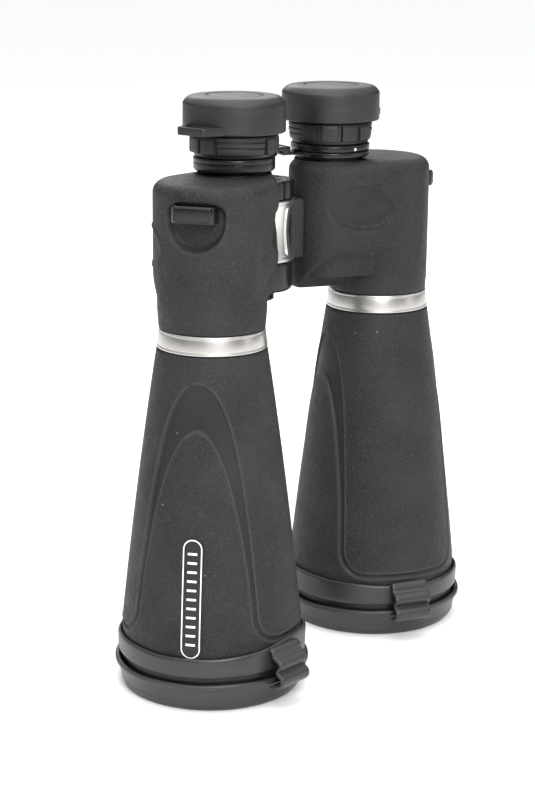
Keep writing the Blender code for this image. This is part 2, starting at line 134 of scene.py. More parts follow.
HALVES = {side: Half(side) for side in SIDES}
RIGHT = HALVES[1]


# ---------------------------------------------------------------- mesh tools

def smoothstep(x):
    """0 below 0, 1 above 1, smooth between."""
    x = np.clip(x, 0.0, 1.0)
    return x * x * (3 - 2 * x)


def bell(x):
    """1 at 0, falling away on both sides."""
    return np.exp(-np.square(x))


def around(centre, r, a, z):
    """Points at radius r, angle a in radians and height z about a vertical axis."""
    r, a, z = np.broadcast_arrays(r, a, z)
    return np.stack([centre[0] + r * np.cos(a), centre[1] + r * np.sin(a), z], axis=-1)


def all_round(steps):
    """Evenly spaced angles of one full turn."""
    return np.arange(steps) * TURN / steps


def degrees_from(a, middle):
    """Angles in radians as signed degrees from a middle one."""
    return (np.degrees(a) - middle + 180) % 360 - 180


def grid(points, loop=True, flip=False):
    """Vertices and quads of a (rows, columns, 3) array: its columns wrap round, and with loop its rows."""
    rows, cols = points.shape[:2]
    index = np.arange(rows * cols).reshape(rows, cols)
    if loop:
        index = np.vstack([index, index[:1]])
    low, high = index[:-1], index[1:]
    quads = np.stack([low, np.roll(low, -1, 1), np.roll(high, -1, 1), high], axis=-1).reshape(-1, 4)
    if flip:
        quads = quads[:, ::-1]
    return points.reshape(-1, 3), quads.tolist()


def soften(corners, segments=4):
    """A closed outline of (a, b, rounding) corners, each rounded by a short curve."""
    outline = []
    count = len(corners)
    for k, (x, y, rounding) in enumerate(corners):
        here = np.array([x, y], float)
        if rounding <= 0:
            outline.append(here)
            continue
        ends = []
        for other in (corners[k - 1], corners[(k + 1) % count]):
            step = np.array(other[:2], float) - here
            length = np.linalg.norm(step)
            ends.append(here + step * min(rounding / length, 0.48))
        for i in range(segments + 1):
            t = i / segments
            outline.append(ends[0] * (1 - t) ** 2 + here * 2 * t * (1 - t) + ends[1] * t * t)
    return np.array(outline)


def turned(corners, centre, steps=112, segments=4):
    """Turn a closed (r, z, rounding) outline about a vertical axis: up its outer side, down its inner one."""
    outline = soften(corners, segments)
    return grid(around(centre, outline[:, :1], all_round(steps), outline[:, 1:]))


def extruded(outline, depth, place, bevel=0.6, segments=3):
    """A solid from a closed outline of (a, b) points, from depth[0] to depth[1] along c, edges rounded."""
    bm = bmesh.new()
    ends = [[bm.verts.new(place(a, b, c)) for a, b in outline] for c in depth]
    for k in range(len(outline)):
        j = (k + 1) % len(outline)
        bm.faces.new((ends[0][k], ends[0][j], ends[1][j], ends[1][k]))
    bm.faces.new(ends[0])
    bm.faces.new(ends[1])
    bmesh.ops.recalc_face_normals(bm, faces=bm.faces)
    if bevel:
        sharp = [e for e in bm.edges if e.calc_face_angle(0) > math.radians(25)]
        bmesh.ops.bevel(bm, geom=sharp, offset=bevel, segments=segments, profile=0.5, affect="EDGES",
                        clamp_overlap=True)
    bm.verts.index_update()
    verts = np.array([v.co for v in bm.verts])
    faces = [[v.index for v in f.verts] for f in bm.faces]
    bm.free()
    return verts, faces


def swept(path, thickness, sides=10):
    """A round wire along a closed path of points."""
    path = np.asarray(path, float)
    ahead = np.roll(path, -1, 0) - np.roll(path, 1, 0)
    ahead /= np.linalg.norm(ahead, axis=1)[:, None]
    normal = np.cross(ahead[0], ahead[len(path) // 4])
    normal /= np.linalg.norm(normal)
    across = np.cross(ahead, normal)
    a = all_round(sides)
    ring = across[:, None] * np.cos(a)[None, :, None] + normal * np.sin(a)[None, :, None]
    return grid(path[:, None] + thickness * ring)


def piece(name, shapes, look, body, replaces=(), slot=None, weld=False, sharp=38, fields=None):
    """One visible object made of closed shapes in mm, riding on a body."""
    verts, faces, base = [], [], 0
    for shape_verts, shape_faces in shapes:
        verts.append(np.asarray(shape_verts, float))
        faces += [[i + base for i in f] for f in shape_faces]
        base += len(shape_verts)
    mesh = bpy.data.meshes.new(name)
    mesh.from_pydata((np.vstack(verts) * MM).tolist(), [], faces)
    for field, values in (fields or {}).items():
        attribute = mesh.attributes.new(field, "FLOAT", "POINT")
        attribute.data.foreach_set("value", np.asarray(values, np.float32).ravel())
    if weld:
        bm = bmesh.new()
        bm.from_mesh(mesh)
        bmesh.ops.remove_doubles(bm, verts=bm.verts, dist=1e-7)
        bmesh.ops.recalc_face_normals(bm, faces=bm.faces)
        bm.to_mesh(mesh)
        bm.free()
    mesh.update()
    mesh.shade_smooth()
    mesh.set_sharp_from_angle(angle=math.radians(sharp))
    mesh.materials.append(look)
    obj = bpy.data.objects.new(name, mesh)
    bpy.context.scene.collection.objects.link(obj)
    if body:
        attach(obj, body)
    if replaces:
        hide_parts(*replaces)
    slot = slot or SLOTS.get(look.name)
    return obj


# ---------------------------------------------------------------- materials

class Look:
    """A Principled material with its texture nodes."""

    def __init__(self, name, roughness=0.5, metallic=0.0, **sockets):
        self.material = bpy.data.materials.new(name)
        self.material.use_nodes = True
        self.tree = self.material.node_tree
        self.shader = self.tree.nodes["Principled BSDF"]
        self.shader.inputs["Roughness"].default_value = roughness
        self.shader.inputs["Metallic"].default_value = metallic
        for socket, value in sockets.items():
            self.shader.inputs[socket.replace("_", " ")].default_value = value
        self.place = self.node("TexCoord").outputs["Object"]

    def node(self, kind, inputs=None, **settings):
        made = self.tree.nodes.new("ShaderNode" + kind)
        for key, value in settings.items():
            setattr(made, key, value)
        for key, value in (inputs or {}).items():
            if isinstance(value, bpy.types.NodeSocket):
                self.tree.links.new(value, made.inputs[key])
            else:
                made.inputs[key].default_value = value
        return made

    def noise(self, scale, detail=3.0, place=None, rough=0.5):
        inputs = {"Vector": place or self.place, "Scale": scale, "Detail": detail, "Roughness": rough}
        return self.node("TexNoise", inputs).outputs["Fac"]

    def cells(self, scale):
        return self.node("TexVoronoi", {"Vector": self.place, "Scale": scale}).outputs["Distance"]

    def stretched(self, x, y, z):
        """Object coordinates scaled along each axis."""
        return self.node("Mapping", {"Vector": self.place, "Scale": (x, y, z)}).outputs["Vector"]

    def field(self, name):
        """A value stored on the mesh."""
        return self.node("Attribute", attribute_name=name).outputs["Fac"]

    def math(self, operation, a, b=0.0):
        return self.node("Math", {0: a, 1: b}, operation=operation).outputs["Value"]

    def spread(self, value, low, high, to_low, to_high):
        """Map a value from one range to another."""
        inputs = {"Value": value, "From Min": low, "From Max": high, "To Min": to_low, "To Max": to_high}
        return self.node("MapRange", inputs).outputs["Result"]

    def across(self, noise, low, high):
        """Map the middle of a noise, where nearly all of its values lie, to a range."""
        return self.spread(noise, 0.3, 0.7, low, high)

    def mix(self, factor, a, b):
        """Blend two colours, each three numbers or a socket."""
        a, b = (c if isinstance(c, bpy.types.NodeSocket) else (*c, 1.0) for c in (a, b))
        first, second, result = 6, 7, 2     # the mix node's colour sockets
        return self.node("Mix", {0: factor, first: a, second: b}, data_type="RGBA").outputs[result]

    def shades(self, noise, dark, light):
        """A colour that wanders from dark to light with a noise."""
        return self.mix(self.across(noise, 0, 1), dark, light)

    def bump(self, height, strength, distance):
        inputs = {"Height": height, "Strength": strength, "Distance": distance}
        self.to("Normal", self.node("Bump", inputs).outputs["Normal"])

    def to(self, socket, value):
        self.tree.links.new(value, self.shader.inputs[socket])


def armour_look():
    """Charcoal rubber armour: pebble grain, smoother where the mesh says so, a painted highlight along raised
    edges.
    """
    look = Look("pebbled_armour", Specular_IOR_Level=0.24)
    pebble = look.cells(900)
    fine = look.noise(2400, 2)
    mottle = look.noise(38, 4)
    smooth = look.field("smooth")
    grain = look.math("SUBTRACT", 1.0, look.math("MULTIPLY", smooth, 0.82))
    height = look.math("ADD", look.math("MULTIPLY", pebble, -1.0), look.math("MULTIPLY", fine, 0.6))
    look.bump(look.math("MULTIPLY", height, grain), 0.8, 0.00034)
    base = look.shades(mottle, (0.014, 0.014, 0.015), (0.024, 0.024, 0.025))
    tops = look.math("MULTIPLY", look.spread(pebble, 0.0, 0.45, 0.55, 0.0), grain)
    base = look.mix(tops, base, (0.060, 0.060, 0.062))
    # painted highlight: the mesh's second field lightens raised edges and rims, where light would catch them
    base = look.mix(look.math("MULTIPLY", look.field("edge_highlight"), 0.28), base, (0.085, 0.085, 0.087))
    dust = look.spread(look.noise(310, 2), 0.775, 0.80, 0.0, 0.55)
    look.to("Base Color", look.mix(dust, base, (0.33, 0.33, 0.33)))
    look.to("Roughness", look.across(look.noise(190, 3), 0.50, 0.62))
    return look.material


DARK_RUBBER, LIGHT_RUBBER = np.array([0.015, 0.0155, 0.017]), np.array([0.026, 0.027, 0.029])


def soft_rubber_look(name, shade, roughness):
    """Satin moulded rubber of the caps and eyecups, with a bloom of fine dust and handling marks."""
    look = Look(name)
    fine = look.noise(1700, 3)
    cloud = look.noise(60, 5)
    streak = look.noise(30, 4, look.stretched(1.0, 1.0, 7.0))
    look.bump(look.math("ADD", fine, look.math("MULTIPLY", cloud, 0.8)), 0.22, 0.00012)
    base = look.shades(cloud, shade * DARK_RUBBER, shade * LIGHT_RUBBER)
    base = look.mix(look.spread(streak, 0.55, 0.75, 0.0, 0.25), base, (0.055, 0.056, 0.06))
    dust = look.spread(look.noise(420, 2), 0.78, 0.80, 0.0, 0.5)
    look.to("Base Color", look.mix(dust, base, (0.35, 0.35, 0.35)))
    look.to("Roughness", look.across(cloud, roughness - 0.06, roughness + 0.06))
    return look.material


def black_metal_look(name, roughness):
    """Black enamelled or anodised metal: faint turning lines, small changes of gloss."""
    look = Look(name, Coat_Weight=0.2, Coat_Roughness=0.15, Specular_IOR_Level=0.35)
    turning = look.noise(1.0, 3, look.stretched(18, 18, 9000))
    smear = look.noise(70, 5)
    look.bump(look.math("ADD", look.math("MULTIPLY", turning, 0.6), look.noise(1400, 2)), 0.12, 0.00006)
    base = look.shades(smear, (0.004, 0.004, 0.0045), (0.009, 0.009, 0.0095))
    look.to("Base Color", look.mix(look.spread(turning, 0.62, 0.8, 0, 0.3), base, (0.03, 0.03, 0.03)))
    look.to("Roughness", look.across(smear, roughness - 0.07, roughness + 0.09))
    return look.material


def metal_look(name, dark, light, roughness):
    """Bare brushed metal: lines round the axis, cloudy gloss."""
    look = Look(name, metallic=1.0)
    brushed = look.noise(1.0, 4, look.stretched(35, 35, 14000), 0.6)
    cloud = look.noise(55, 4)
    look.bump(brushed, 0.25, 0.00004)
    look.to("Base Color", look.shades(brushed, dark, light))
    look.to("Roughness", look.math("ADD", look.across(cloud, roughness - 0.05, roughness + 0.05),
                                   look.math("MULTIPLY", brushed, 0.12)))
    return look.material


def glass_look():
    """Multi-coated lens glass with faint smears."""
    look = Look("coated_lens_glass", Transmission_Weight=1.0, IOR=1.52, Coat_Weight=0.6,
                Coat_Roughness=0.03, Coat_Tint=(0.55, 0.75, 0.95, 1.0))
    smear = look.noise(90, 4)
    look.to("Base Color", look.shades(smear, (0.74, 0.84, 0.86), (0.82, 0.9, 0.93)))
    look.to("Roughness", look.spread(smear, 0.45, 0.8, 0.015, 0.07))
    look.bump(smear, 0.02, 0.00002)
    return look.material


def print_look():
    """White pad-printed ink, slightly uneven."""
    look = Look("white_ink", roughness=0.45)
    grain = look.noise(1500, 3)
    look.bump(grain, 0.2, 0.00004)
    look.to("Base Color", look.shades(grain, (0.72, 0.72, 0.72), (0.9, 0.9, 0.9)))
    look.to("Roughness", look.across(look.noise(300, 3), 0.38, 0.5))
    return look.material


def floor_look():
    """Matt white studio table."""
    look = Look("studio_white", roughness=0.7)
    cloud = look.noise(3, 3)
    look.to("Base Color", look.mix(cloud, (0.93, 0.93, 0.93), (0.95, 0.95, 0.95)))
    return look.material


ARMOUR = armour_look()
SOFT = soft_rubber_look("satin_cap_rubber", 1.15, 0.40)
EYE_SOFT = soft_rubber_look("dark_eyecup_rubber", 0.45, 0.50)
GLOSS = black_metal_look("gloss_black_metal", 0.26)
MATT = black_metal_look("matt_black_metal", 0.48)
SILVER = metal_look("brushed_silver", (0.50, 0.485, 0.465), (0.70, 0.685, 0.66), 0.28)
STEEL = metal_look("turned_steel", (0.42, 0.42, 0.43), (0.62, 0.62, 0.63), 0.28)
BRASS = metal_look("turned_brass", (0.55, 0.38, 0.15), (0.80, 0.60, 0.28), 0.30)
GLASS = glass_look()
INK = print_look()
# the frame's own slot for each look; the ink has none
SLOTS = {ARMOUR.name: "armour_rubber", SOFT.name: "cap_rubber", EYE_SOFT.name: "cap_rubber",
         GLOSS.name: "black_metal", MATT.name: "black_metal", SILVER.name: "satin_aluminium",
         STEEL.name: "steel", GLASS.name: "coated_glass"}


# ---------------------------------------------------------------- objective barrels

# two nested arches: peak z, widest half angle in degrees, and how slowly each opens below its peak
ARCH = {"top": 156.5, "width": 52.0, "ease": 50.0}
TONGUE = {"top": 136.0, "width": 58.0, "ease": 78.0}
ARCH_ANGLE = {-1: -152.5, 1: -27.5}        # middle of the outer side's arch about the objective axis
PANEL_Z, PANEL_CORNER = 33.0, 12.0         # lower edge of the side panels
BADGE_Z0, BADGE_Z1, BADGE_HALF = 26.5, 84.5, 4.9
BADGE_SINK = 0.45                          # depth of the recess that the badge lies in
BARREL_WALL = 2.2


def barrel_r(z):
    """Outer radius of the flared barrel, as the CAD barrel has it."""
    d = z - 103.0
    return np.minimum(36.1 - 0.1295 * d - 0.000183 * d * d, BARREL_R)


def arch_half(z, top, width, ease):
    """Half width of an arch in degrees; below 0 above its peak."""
    s = top - z
    return np.where(s > 0, width * np.sqrt(np.maximum(s, 0) / (np.maximum(s, 0) + ease)), s)


def outside_arch(q, z, top, width, ease):
    """Distance in mm from an arch's line, positive outside it; q is the angle from its middle in degrees."""
    share = np.clip(np.square(q / width), 0, 0.99)
    rise = z - (top - ease * share / (1 - share))
    half = arch_half(z, top, width, ease)
    across = np.where(half > 0, (q - half) * np.radians(1) * barrel_r(z), 1e6)
    nearest = np.abs(rise * across) / np.maximum(np.hypot(rise, across), 1e-9)
    return np.where(rise > 0, nearest, -nearest)


def rounded_min(a, b, corner):
    """The lesser of two distances, with a rounded corner where both are small."""
    arc = corner - np.hypot(corner - a, corner - b)
    return np.where((a < corner) & (b < corner), arc, np.minimum(a, b))


def barrel_relief(q, z):
    """(height below the full surface, smoothness, painted edge highlight) of the moulded armour."""
    groove, step, channel, lip = 1.3, 0.85, 1.0, 0.22
    panel = rounded_min(outside_arch(q, z, **ARCH), z - PANEL_Z, PANEL_CORNER)
    inside = np.where(z < 45, 1e3, -outside_arch(q, z, **TONGUE))
    tongue = np.minimum(inside, -panel - groove)
    level = np.maximum(smoothstep(panel / step), smoothstep(tongue / step))
    # painted highlight along the lips of the panels and the tongue
    edge = bell((panel - 1.0) / 0.75) * (panel > -0.5) + bell((tongue - 1.0) / 0.75) * (tongue > -0.5)
    edge = np.where(z < 22, 0, edge)
    return channel * (1 - level) - lip * edge, 1 - level, edge


def even_spacing(density, count):
    """count values from 0 to 1 spaced by a density sampled evenly over the same range (last axis)."""
    total = np.cumsum(density, axis=-1)
    total = np.concatenate([np.zeros((*total.shape[:-1], 1)), total], axis=-1)
    total /= total[..., -1:]
    places = np.linspace(0, 1, density.shape[-1] + 1)
    wanted = np.arange(count) / count
    return np.array([np.interp(wanted, row, places) for row in np.atleast_2d(total)])


def barrel_rows(top):
    """Heights of the barrel's rows up to top, closer together at the arches' peaks and the panels' edge."""
    row_count, tall = 232, top - BARREL_Z0
    z = BARREL_Z0 + tall * np.linspace(0, 1, 400)
    busy = 1 + 1.7 * bell((z - 154) / 6) + 1.7 * bell((z - 134) / 5) + 1.2 * bell((z - 36) / 6)
    busy = np.where(z < 19, 0.3, busy)
    return BARREL_Z0 + tall * np.append(even_spacing(busy, row_count)[0], 1.0)


def barrel_columns(z):
    """(degrees from the nearer arch's middle, degrees from the outer arch's), closer at the arches' lines."""
    quarter = 96
    sample = np.linspace(0, 90, 361)[:-1]
    density = np.ones((len(z), len(sample)))
    for arch in (ARCH, TONGUE):
        middle = arch_half(z, **arch)[:, None]
        density += 3.2 * bell((sample[None] - middle) * np.radians(1) * barrel_r(z)[:, None] / 1.5)
    forward = 90 * even_spacing(density, quarter)
    back = np.hstack([np.full((len(z), 1), 90.0), forward[:, :0:-1]])
    return (np.hstack([forward, back, forward, back]),
            np.hstack([forward, 180 - back, 180 + forward, 360 - back]))


def badge_sink(turn, z):
    """Depth of the badge's long round-ended recess."""
    reach = np.radians((turn + 180) % 360 - 180) * barrel_r(z)
    stem = (BADGE_Z1 - BADGE_Z0) / 2 - BADGE_HALF
    past_stem = np.maximum(np.abs(z - (BADGE_Z0 + BADGE_Z1) / 2) - stem, 0)
    return BADGE_SINK * smoothstep((1.5 - (np.hypot(reach, past_stem) - BADGE_HALF)) / 1.1)


def barrel(half):
    """Flared barrel: raised side panels, nested arches, a smooth channel between, a recess for the badge."""
    skin_top = BAND_Z0 - 0.3
    z = barrel_rows(skin_top)
    from_arch, turn = barrel_columns(z)
    depth, smooth, edge_highlight = barrel_relief(from_arch, z[:, None])
    depth += badge_sink(turn, z[:, None])
    tuck = smoothstep((z - (skin_top - 0.9)) / 0.9)[:, None] * 0.7
    a = np.radians(turn + ARCH_ANGLE[half.side])
    skin = around(half.objective, barrel_r(z)[:, None] - depth - tuck, a, z[:, None])
    spigot = half.radius("trim_ring") - 3.3
    lining = [(spigot, skin_top), (spigot, BAND_Z1), (spigot - BARREL_WALL, BAND_Z1),
              (spigot - BARREL_WALL, skin_top - 4)]
    lining += [(float(barrel_r(h)) - BARREL_WALL - 0.3, h) for h in (140.0, 105.0, 70.0, 36.0)]
    lining += [(BARREL_R - BARREL_WALL, BARREL_Z0)]
    lining = np.array(lining)
    inside = around(half.objective, lining[:, :1], a[-1], lining[:, 1:])
    plain = np.zeros(inside.shape[:2])
    # the second field is the painted edge highlight
    fields = {"smooth": np.vstack([np.clip(smooth, 0, 1), plain + 1]),
              "edge_highlight": np.vstack([np.clip(edge_highlight, 0, 1), plain])}
    half.piece("barrel_armour", [grid(np.concatenate([skin, inside]))], ARMOUR, ["objective_barrel"],
               fields=fields, sharp=60)


def on_barrel(half, reach, z, proud):
    """A point on the barrel's outer side, reach mm round from the arch's middle."""
    r = barrel_r(z)
    return around(half.objective, r + proud, np.radians(ARCH_ANGLE[half.side]) + reach / r, z)


def pill(half_width, steps=20):
    """Closed outline of the badge, (reach, z), anticlockwise."""
    low, high = BADGE_Z0 + BADGE_HALF, BADGE_Z1 - BADGE_HALF
    side = np.linspace(low, high, 34)[1:-1]
    end = np.linspace(0, math.pi, steps)
    top = np.stack([half_width * np.cos(end), high + half_width * np.sin(end)], axis=1)
    bottom = np.stack([-half_width * np.cos(end), low - half_width * np.sin(end)], axis=1)
    left = np.stack([np.full_like(side, -half_width), side[::-1]], axis=1)
    right = np.stack([np.full_like(side, half_width), side], axis=1)
    return np.vstack([top, left, bottom, right])


def pill_grid(half, levels):
    """Rings of pill outlines at (half width, height above the barrel), joined and closed."""
    lines = [(pill(half_width), proud) for half_width, proud in levels]
    return grid(np.array([on_barrel(half, line[:, 0], line[:, 1], proud) for line, proud in lines]))


def badge(half):
    """Long plain plate on the outer side: a printed outline and a row of plain bars, no lettering."""
    under, base, ink = -0.9, -0.1, 0.10      # heights above the barrel's own surface
    plate = [(0.02, under), (BADGE_HALF, under), (BADGE_HALF, -0.12), (BADGE_HALF - 0.15, 0.02), (0.02, 0.02)]
    half.piece("badge_plate", [pill_grid(half, plate)], MATT, weld=True)
    outer, inner = BADGE_HALF - 0.2, BADGE_HALF - 0.8
    shapes = [pill_grid(half, [(outer, base), (outer, ink), (inner, ink), (inner, base)])]
    bars, bar_reach, bar_half = 11, 2.3, 0.55
    for k in range(bars):
        middle = BADGE_Z0 + BADGE_HALF + (k + 0.5) * (BADGE_Z1 - BADGE_Z0 - 2 * BADGE_HALF) / bars
        z = middle + bar_half * np.array([-1, -1, 1, 1])
        proud = np.array([base, ink, ink, base])
        rows = [on_barrel(half, np.full(4, x), z, proud) for x in np.linspace(-bar_reach, bar_reach, 9)]
        verts, faces = grid(np.array(rows), loop=False)
        last = len(verts) - 4
        faces += [[3, 2, 1, 0], [last, last + 1, last + 2, last + 3]]
        shapes.append((verts, faces))
    half.piece("badge_outline", shapes, INK, weld=True, sharp=30)


# ---------------------------------------------------------------- objective end

STRAP_ANGLE = {-1: -92.0, 1: -119.0}
STRAP_W = 20.0
RING_SWELL = {-1: ((-75.0, 38.0, 5.6), (170.0, 45.0, 0.8)), 1: ((170.0, 60.0, 3.0), (-70.0, 40.0, 0.8))}


def trim_ring(half):
    """Satin metal band with a bright raised line near each edge."""
    z0, z1, r0 = BAND_Z0, BAND_Z1, BAND_R
    slope = -1.2 / (z1 - z0)

    def at(z, out=0.0):
        return r0 + slope * (z - z0) + out

    corners = [(r0 - 3.0, z0, 0), (at(z0, -0.5), z0, 0.2), (at(z0 + 0.35, 0.05), z0 + 0.35, 0.25)]
    deep = 0.32
    for z in (z0 + 1.15, z0 + 7.55):
        corners += [(at(z, 0.05), z, 0.12), (at(z + 0.18, -deep), z + 0.18, 0.1),
                    (at(z + 0.38, -deep), z + 0.38, 0.1), (at(z + 0.56, 0.05), z + 0.56, 0.12)]
    corners += [(at(z1 - 0.35, 0.05), z1 - 0.35, 0.25), (at(z1, -0.5), z1, 0.2), (r0 - 3.0, z1, 0)]
    half.piece("silver_band", [turned(corners, half.objective, 160, 3)], SILVER, ["trim_ring"])


def cap_ring(half):
    """Stretched rubber band that carries the objective cap; its upper edge is a little wavy."""
    z0, z1 = BARREL_Z0 + 11.4, BARREL_Z0 + 20.4
    corners = [(BARREL_R + 0.3, z0, 0.3), (BARREL_R + 1.7, z0, 0.6), (BARREL_R + 2.2, z0 + 1.6, 0.8),
               (BARREL_R + 2.3, z1 - 1.4, 0.8), (BARREL_R + 1.8, z1, 0.7), (BARREL_R + 0.9, z1 + 0.1, 0.5),
               (BARREL_R + 0.5, z1 - 1.2, 0.3)]
    outline = soften(corners)
    a = all_round(224)
    lift = 0.18 * np.sin(5 * a + 1.0) + 0.1 * np.sin(11 * a)
    for middle, width, rise in RING_SWELL[half.side]:
        lift = lift + rise * bell(degrees_from(a, middle) / width)
    sag = 0.25 * np.sin(3 * a + 0.6)
    share = smoothstep((outline[:, 1:] - z0) / (z1 - z0))
    z = outline[:, 1:] + share * lift + (1 - share) * sag
    r = outline[:, :1] + share * 0.25 * np.sin(4 * a)
    half.piece("cap_ring", [grid(around(half.objective, r, a, z))], SOFT, ["cap_band"])


def front_rim(half):
    """Black rim of the barrel, seen in the gap between the cap and its ring."""
    low, high, inner = BARREL_Z0 + 0.5, BARREL_Z0 + 13.5, BARREL_R - 1.0
    corners = [(inner, low, 0), (BARREL_R + 0.15, low, 0.2), (BARREL_R + 0.25, high, 0.3), (inner, high, 0)]
    half.piece("front_rim", [turned(corners, half.objective, 128, 3)], MATT)


def objective_cover(half):
    """Shallow rubber objective cap with a rolled lip, ribs inside and a ring foot below."""
    lip_z = BARREL_Z0 + 8.4
    foot_r, lip_r, bore = BARREL_R - 1.5, BARREL_R + 3.8, BARREL_R + 0.9
    corners = [(0, 0.9, 0), (foot_r - 9, 0.9, 0.6), (foot_r - 8.4, 0, 0.5), (foot_r, 0, 0.8),
               (foot_r + 1.6, 1.8, 1.0), (lip_r - 1.6, lip_z - 4.6, 2.0), (lip_r - 1.1, lip_z - 2.9, 0.5),
               (lip_r, lip_z - 2.4, 0.5), (lip_r, lip_z - 0.5, 0.6), (lip_r - 1.0, lip_z, 0.5),
               (bore + 0.9, lip_z - 0.1, 0.4), (bore, lip_z - 1.2, 0.6), (bore, 2.6, 1.2)]
    for ring_r in (34.0, 22.0, 10.0):
        corners += [(ring_r + 1.0, 2.6, 0.3), (ring_r + 0.6, 3.3, 0.3), (ring_r - 0.6, 3.3, 0.3),
                    (ring_r - 1.0, 2.6, 0.3)]
    corners += [(0, 2.6, 0)]
    verts, faces = turned(corners, half.objective, 192, 4)
    away = verts[:, :2] - half.objective
    a = np.arctan2(away[:, 1], away[:, 0])
    rim = smoothstep((verts[:, 2] - 4) / (lip_z - 4)) * (np.hypot(*away.T) > bore - 0.5)
    verts[:, 2] += rim * (0.28 * np.sin(3 * a + 2.0) + 0.14 * np.sin(8 * a))
    half.piece("objective_cover", [(verts, faces)], SOFT, ["objective_cap"], "objective_cap", weld=True)


def smooth_curve(points, per=7):
    """Catmull-Rom curve through points."""
    p = np.asarray(points, float)
    p = np.vstack([2 * p[0] - p[1], p, 2 * p[-1] - p[-2]])
    out = []
    for k in range(1, len(p) - 2):
        for i in range(per):
            t = i / per
            out.append(0.5 * ((2 * p[k]) + (p[k + 1] - p[k - 1]) * t
                              + (2 * p[k - 1] - 5 * p[k] + 4 * p[k + 1] - p[k + 2]) * t ** 2
                              + (3 * p[k] - p[k - 1] - 3 * p[k + 1] + p[k + 2]) * t ** 3))
    out.append(p[-2])
    return np.array(out)


# the strap's middle line from the ring to the cap: distance outside the barrel, height
STRAP_LINE = [(1.2, 28.2), (3.2, 29.2), (4.6, 27.8), (5.0, 26.2), (6.2, 25.0), (8.4, 24.0), (9.4, 22.2),
              (8.2, 20.4), (7.2, 18.8), (8.4, 17.4), (10.2, 16.0), (10.4, 13.8), (8.8, 12.0), (6.0, 11.0),
              (3.2, 10.6)]
STRAP_THICK = 1.05                          # half of its thickness


def strap(half):
    """Corrugated rubber strap that joins the cap to its ring."""
    middle = smooth_curve([(BARREL_R + out, z) for out, z in STRAP_LINE])
    ahead = np.gradient(middle, axis=0)
    ahead /= np.linalg.norm(ahead, axis=1)[:, None]
    normal = np.stack([-ahead[:, 1], ahead[:, 0]], axis=1)
    share = np.linspace(0, 1, len(middle))
    thick = STRAP_THICK * np.sqrt(np.clip(np.minimum(share, 1 - share) * 26, 0.15, 1))[:, None]
    a = math.radians(STRAP_ANGLE[half.side])
    out, along = np.array([math.cos(a), math.sin(a)]), np.array([-math.sin(a), math.cos(a)])
    # stations across the strap, with the share of its thickness there: its long edges are rounded
    edge = [(place - STRAP_W / 2, keep) for place, keep in ((0, 0.45), (0.25, 0.75), (0.7, 0.93), (1.4, 1.0))]
    stations = edge + [(x, 1.0) for x in np.linspace(-STRAP_W / 2 + 3, STRAP_W / 2 - 3, 9)]
    stations += [(-x, keep) for x, keep in reversed(edge)]
    rows = []
    for x, keep in stations:
        loop = np.vstack([middle + normal * thick * keep, (middle - normal * thick * keep)[::-1]])
        rows.append(np.concatenate([half.objective + loop[:, :1] * out + x * along, loop[:, 1:]], axis=1))
    verts, faces = grid(np.array(rows), loop=False)
    loop_n, count = len(rows[0]), len(middle)
    for base, flip in ((0, False), ((len(rows) - 1) * loop_n, True)):
        for k in range(count - 1):
            quad = [base + k, base + k + 1, base + loop_n - 2 - k, base + loop_n - 1 - k]
            faces.append(quad[::-1] if flip else quad)
    obj = piece(f"{half.name}_strap", [(verts, faces)], SOFT, None, weld=True, sharp=50)
    at = half.objective + (BARREL_R + 6.8) * out
    start, end = ((at[0] * MM, at[1] * MM, z * MM) for z in (22.0, 12.5))
    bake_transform(obj)
    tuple(start)
    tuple(end)


def objective_cell(half):
    """Black cell with threads and a retaining ring round the coated objective."""
    z0, z1 = heights(f"{half.name}_objective_cell")
    r, glass_r = half.radius("objective_cell"), half.radius("crown_lens")
    corners = [(glass_r - 1.2, z0, 0.2), (glass_r + 1.2, z0, 0.3), (glass_r + 1.6, z0 + 0.8, 0.2)]
    threads, pitch = 4, 0.9
    for k in range(threads):
        thread_r, z = glass_r + pitch * k, z0 + 1.0 + pitch * k
        corners += [(thread_r + 2.1, z, 0.1), (thread_r + 2.5, z + 0.6, 0.1)]
    corners += [(r, z0 + 5.5, 0.3), (r, z1, 0.4), (glass_r + 0.3, z1, 0.2), (glass_r + 0.3, z0 + 1.2, 0),
                (glass_r - 1.2, z0 + 1.2, 0.2)]
    half.piece("lens_cell", [turned(corners, half.objective, 128, 2)], MATT, ["objective_cell"])


def glass(node, centre, body, curve_low, curve_high):
    """A lens with smooth curved faces in place of the faceted one."""
    z0, z1 = heights(node)
    r, rings = radius(node), 10
    share = np.arange(rings + 1) / rings
    low = z0 + max(curve_low, 0) - curve_low * (1 - share ** 2)
    high = z1 - max(curve_high, 0) + curve_high * (1 - share ** 2)
    corners = [(r * t, z, 0) for t, z in zip(share, low)]
    corners += [(r * t, z, 0) for t, z in zip(share[::-1], high[::-1])]
    piece(node.replace("_lens", "_glass"), [turned(corners, centre, 96)], GLASS, body, [node], weld=True)


# ---------------------------------------------------------------- prism housings

POLE_U = 58.0                # the housing's outlines are all seen round this point
LEDGE_Z = 183.5              # underside of the inner end
FULL_Z = 206.0               # the outer end reaches its full width here
SHOULDER = 6.0
POCKET_Z, POCKET_R, POCKET_FLOOR_R = 233.0, 15.4, 12.4
NECK_HOLE = 17.6
WALL_OUT_R, WALL_IN_R, WALL_SHIFT = 30.2, 21.0, 5.0     # widest outline, for spacing the columns
THUMB_U, THUMB_Z, THUMB_HALF_U, THUMB_HALF_Z = 46.0, 225.5, 18.5, 12.2
PAD_U, PAD_Z, PAD_HALF_U, PAD_HALF_Z = 78.0, 218.0, 12.5, 10.5


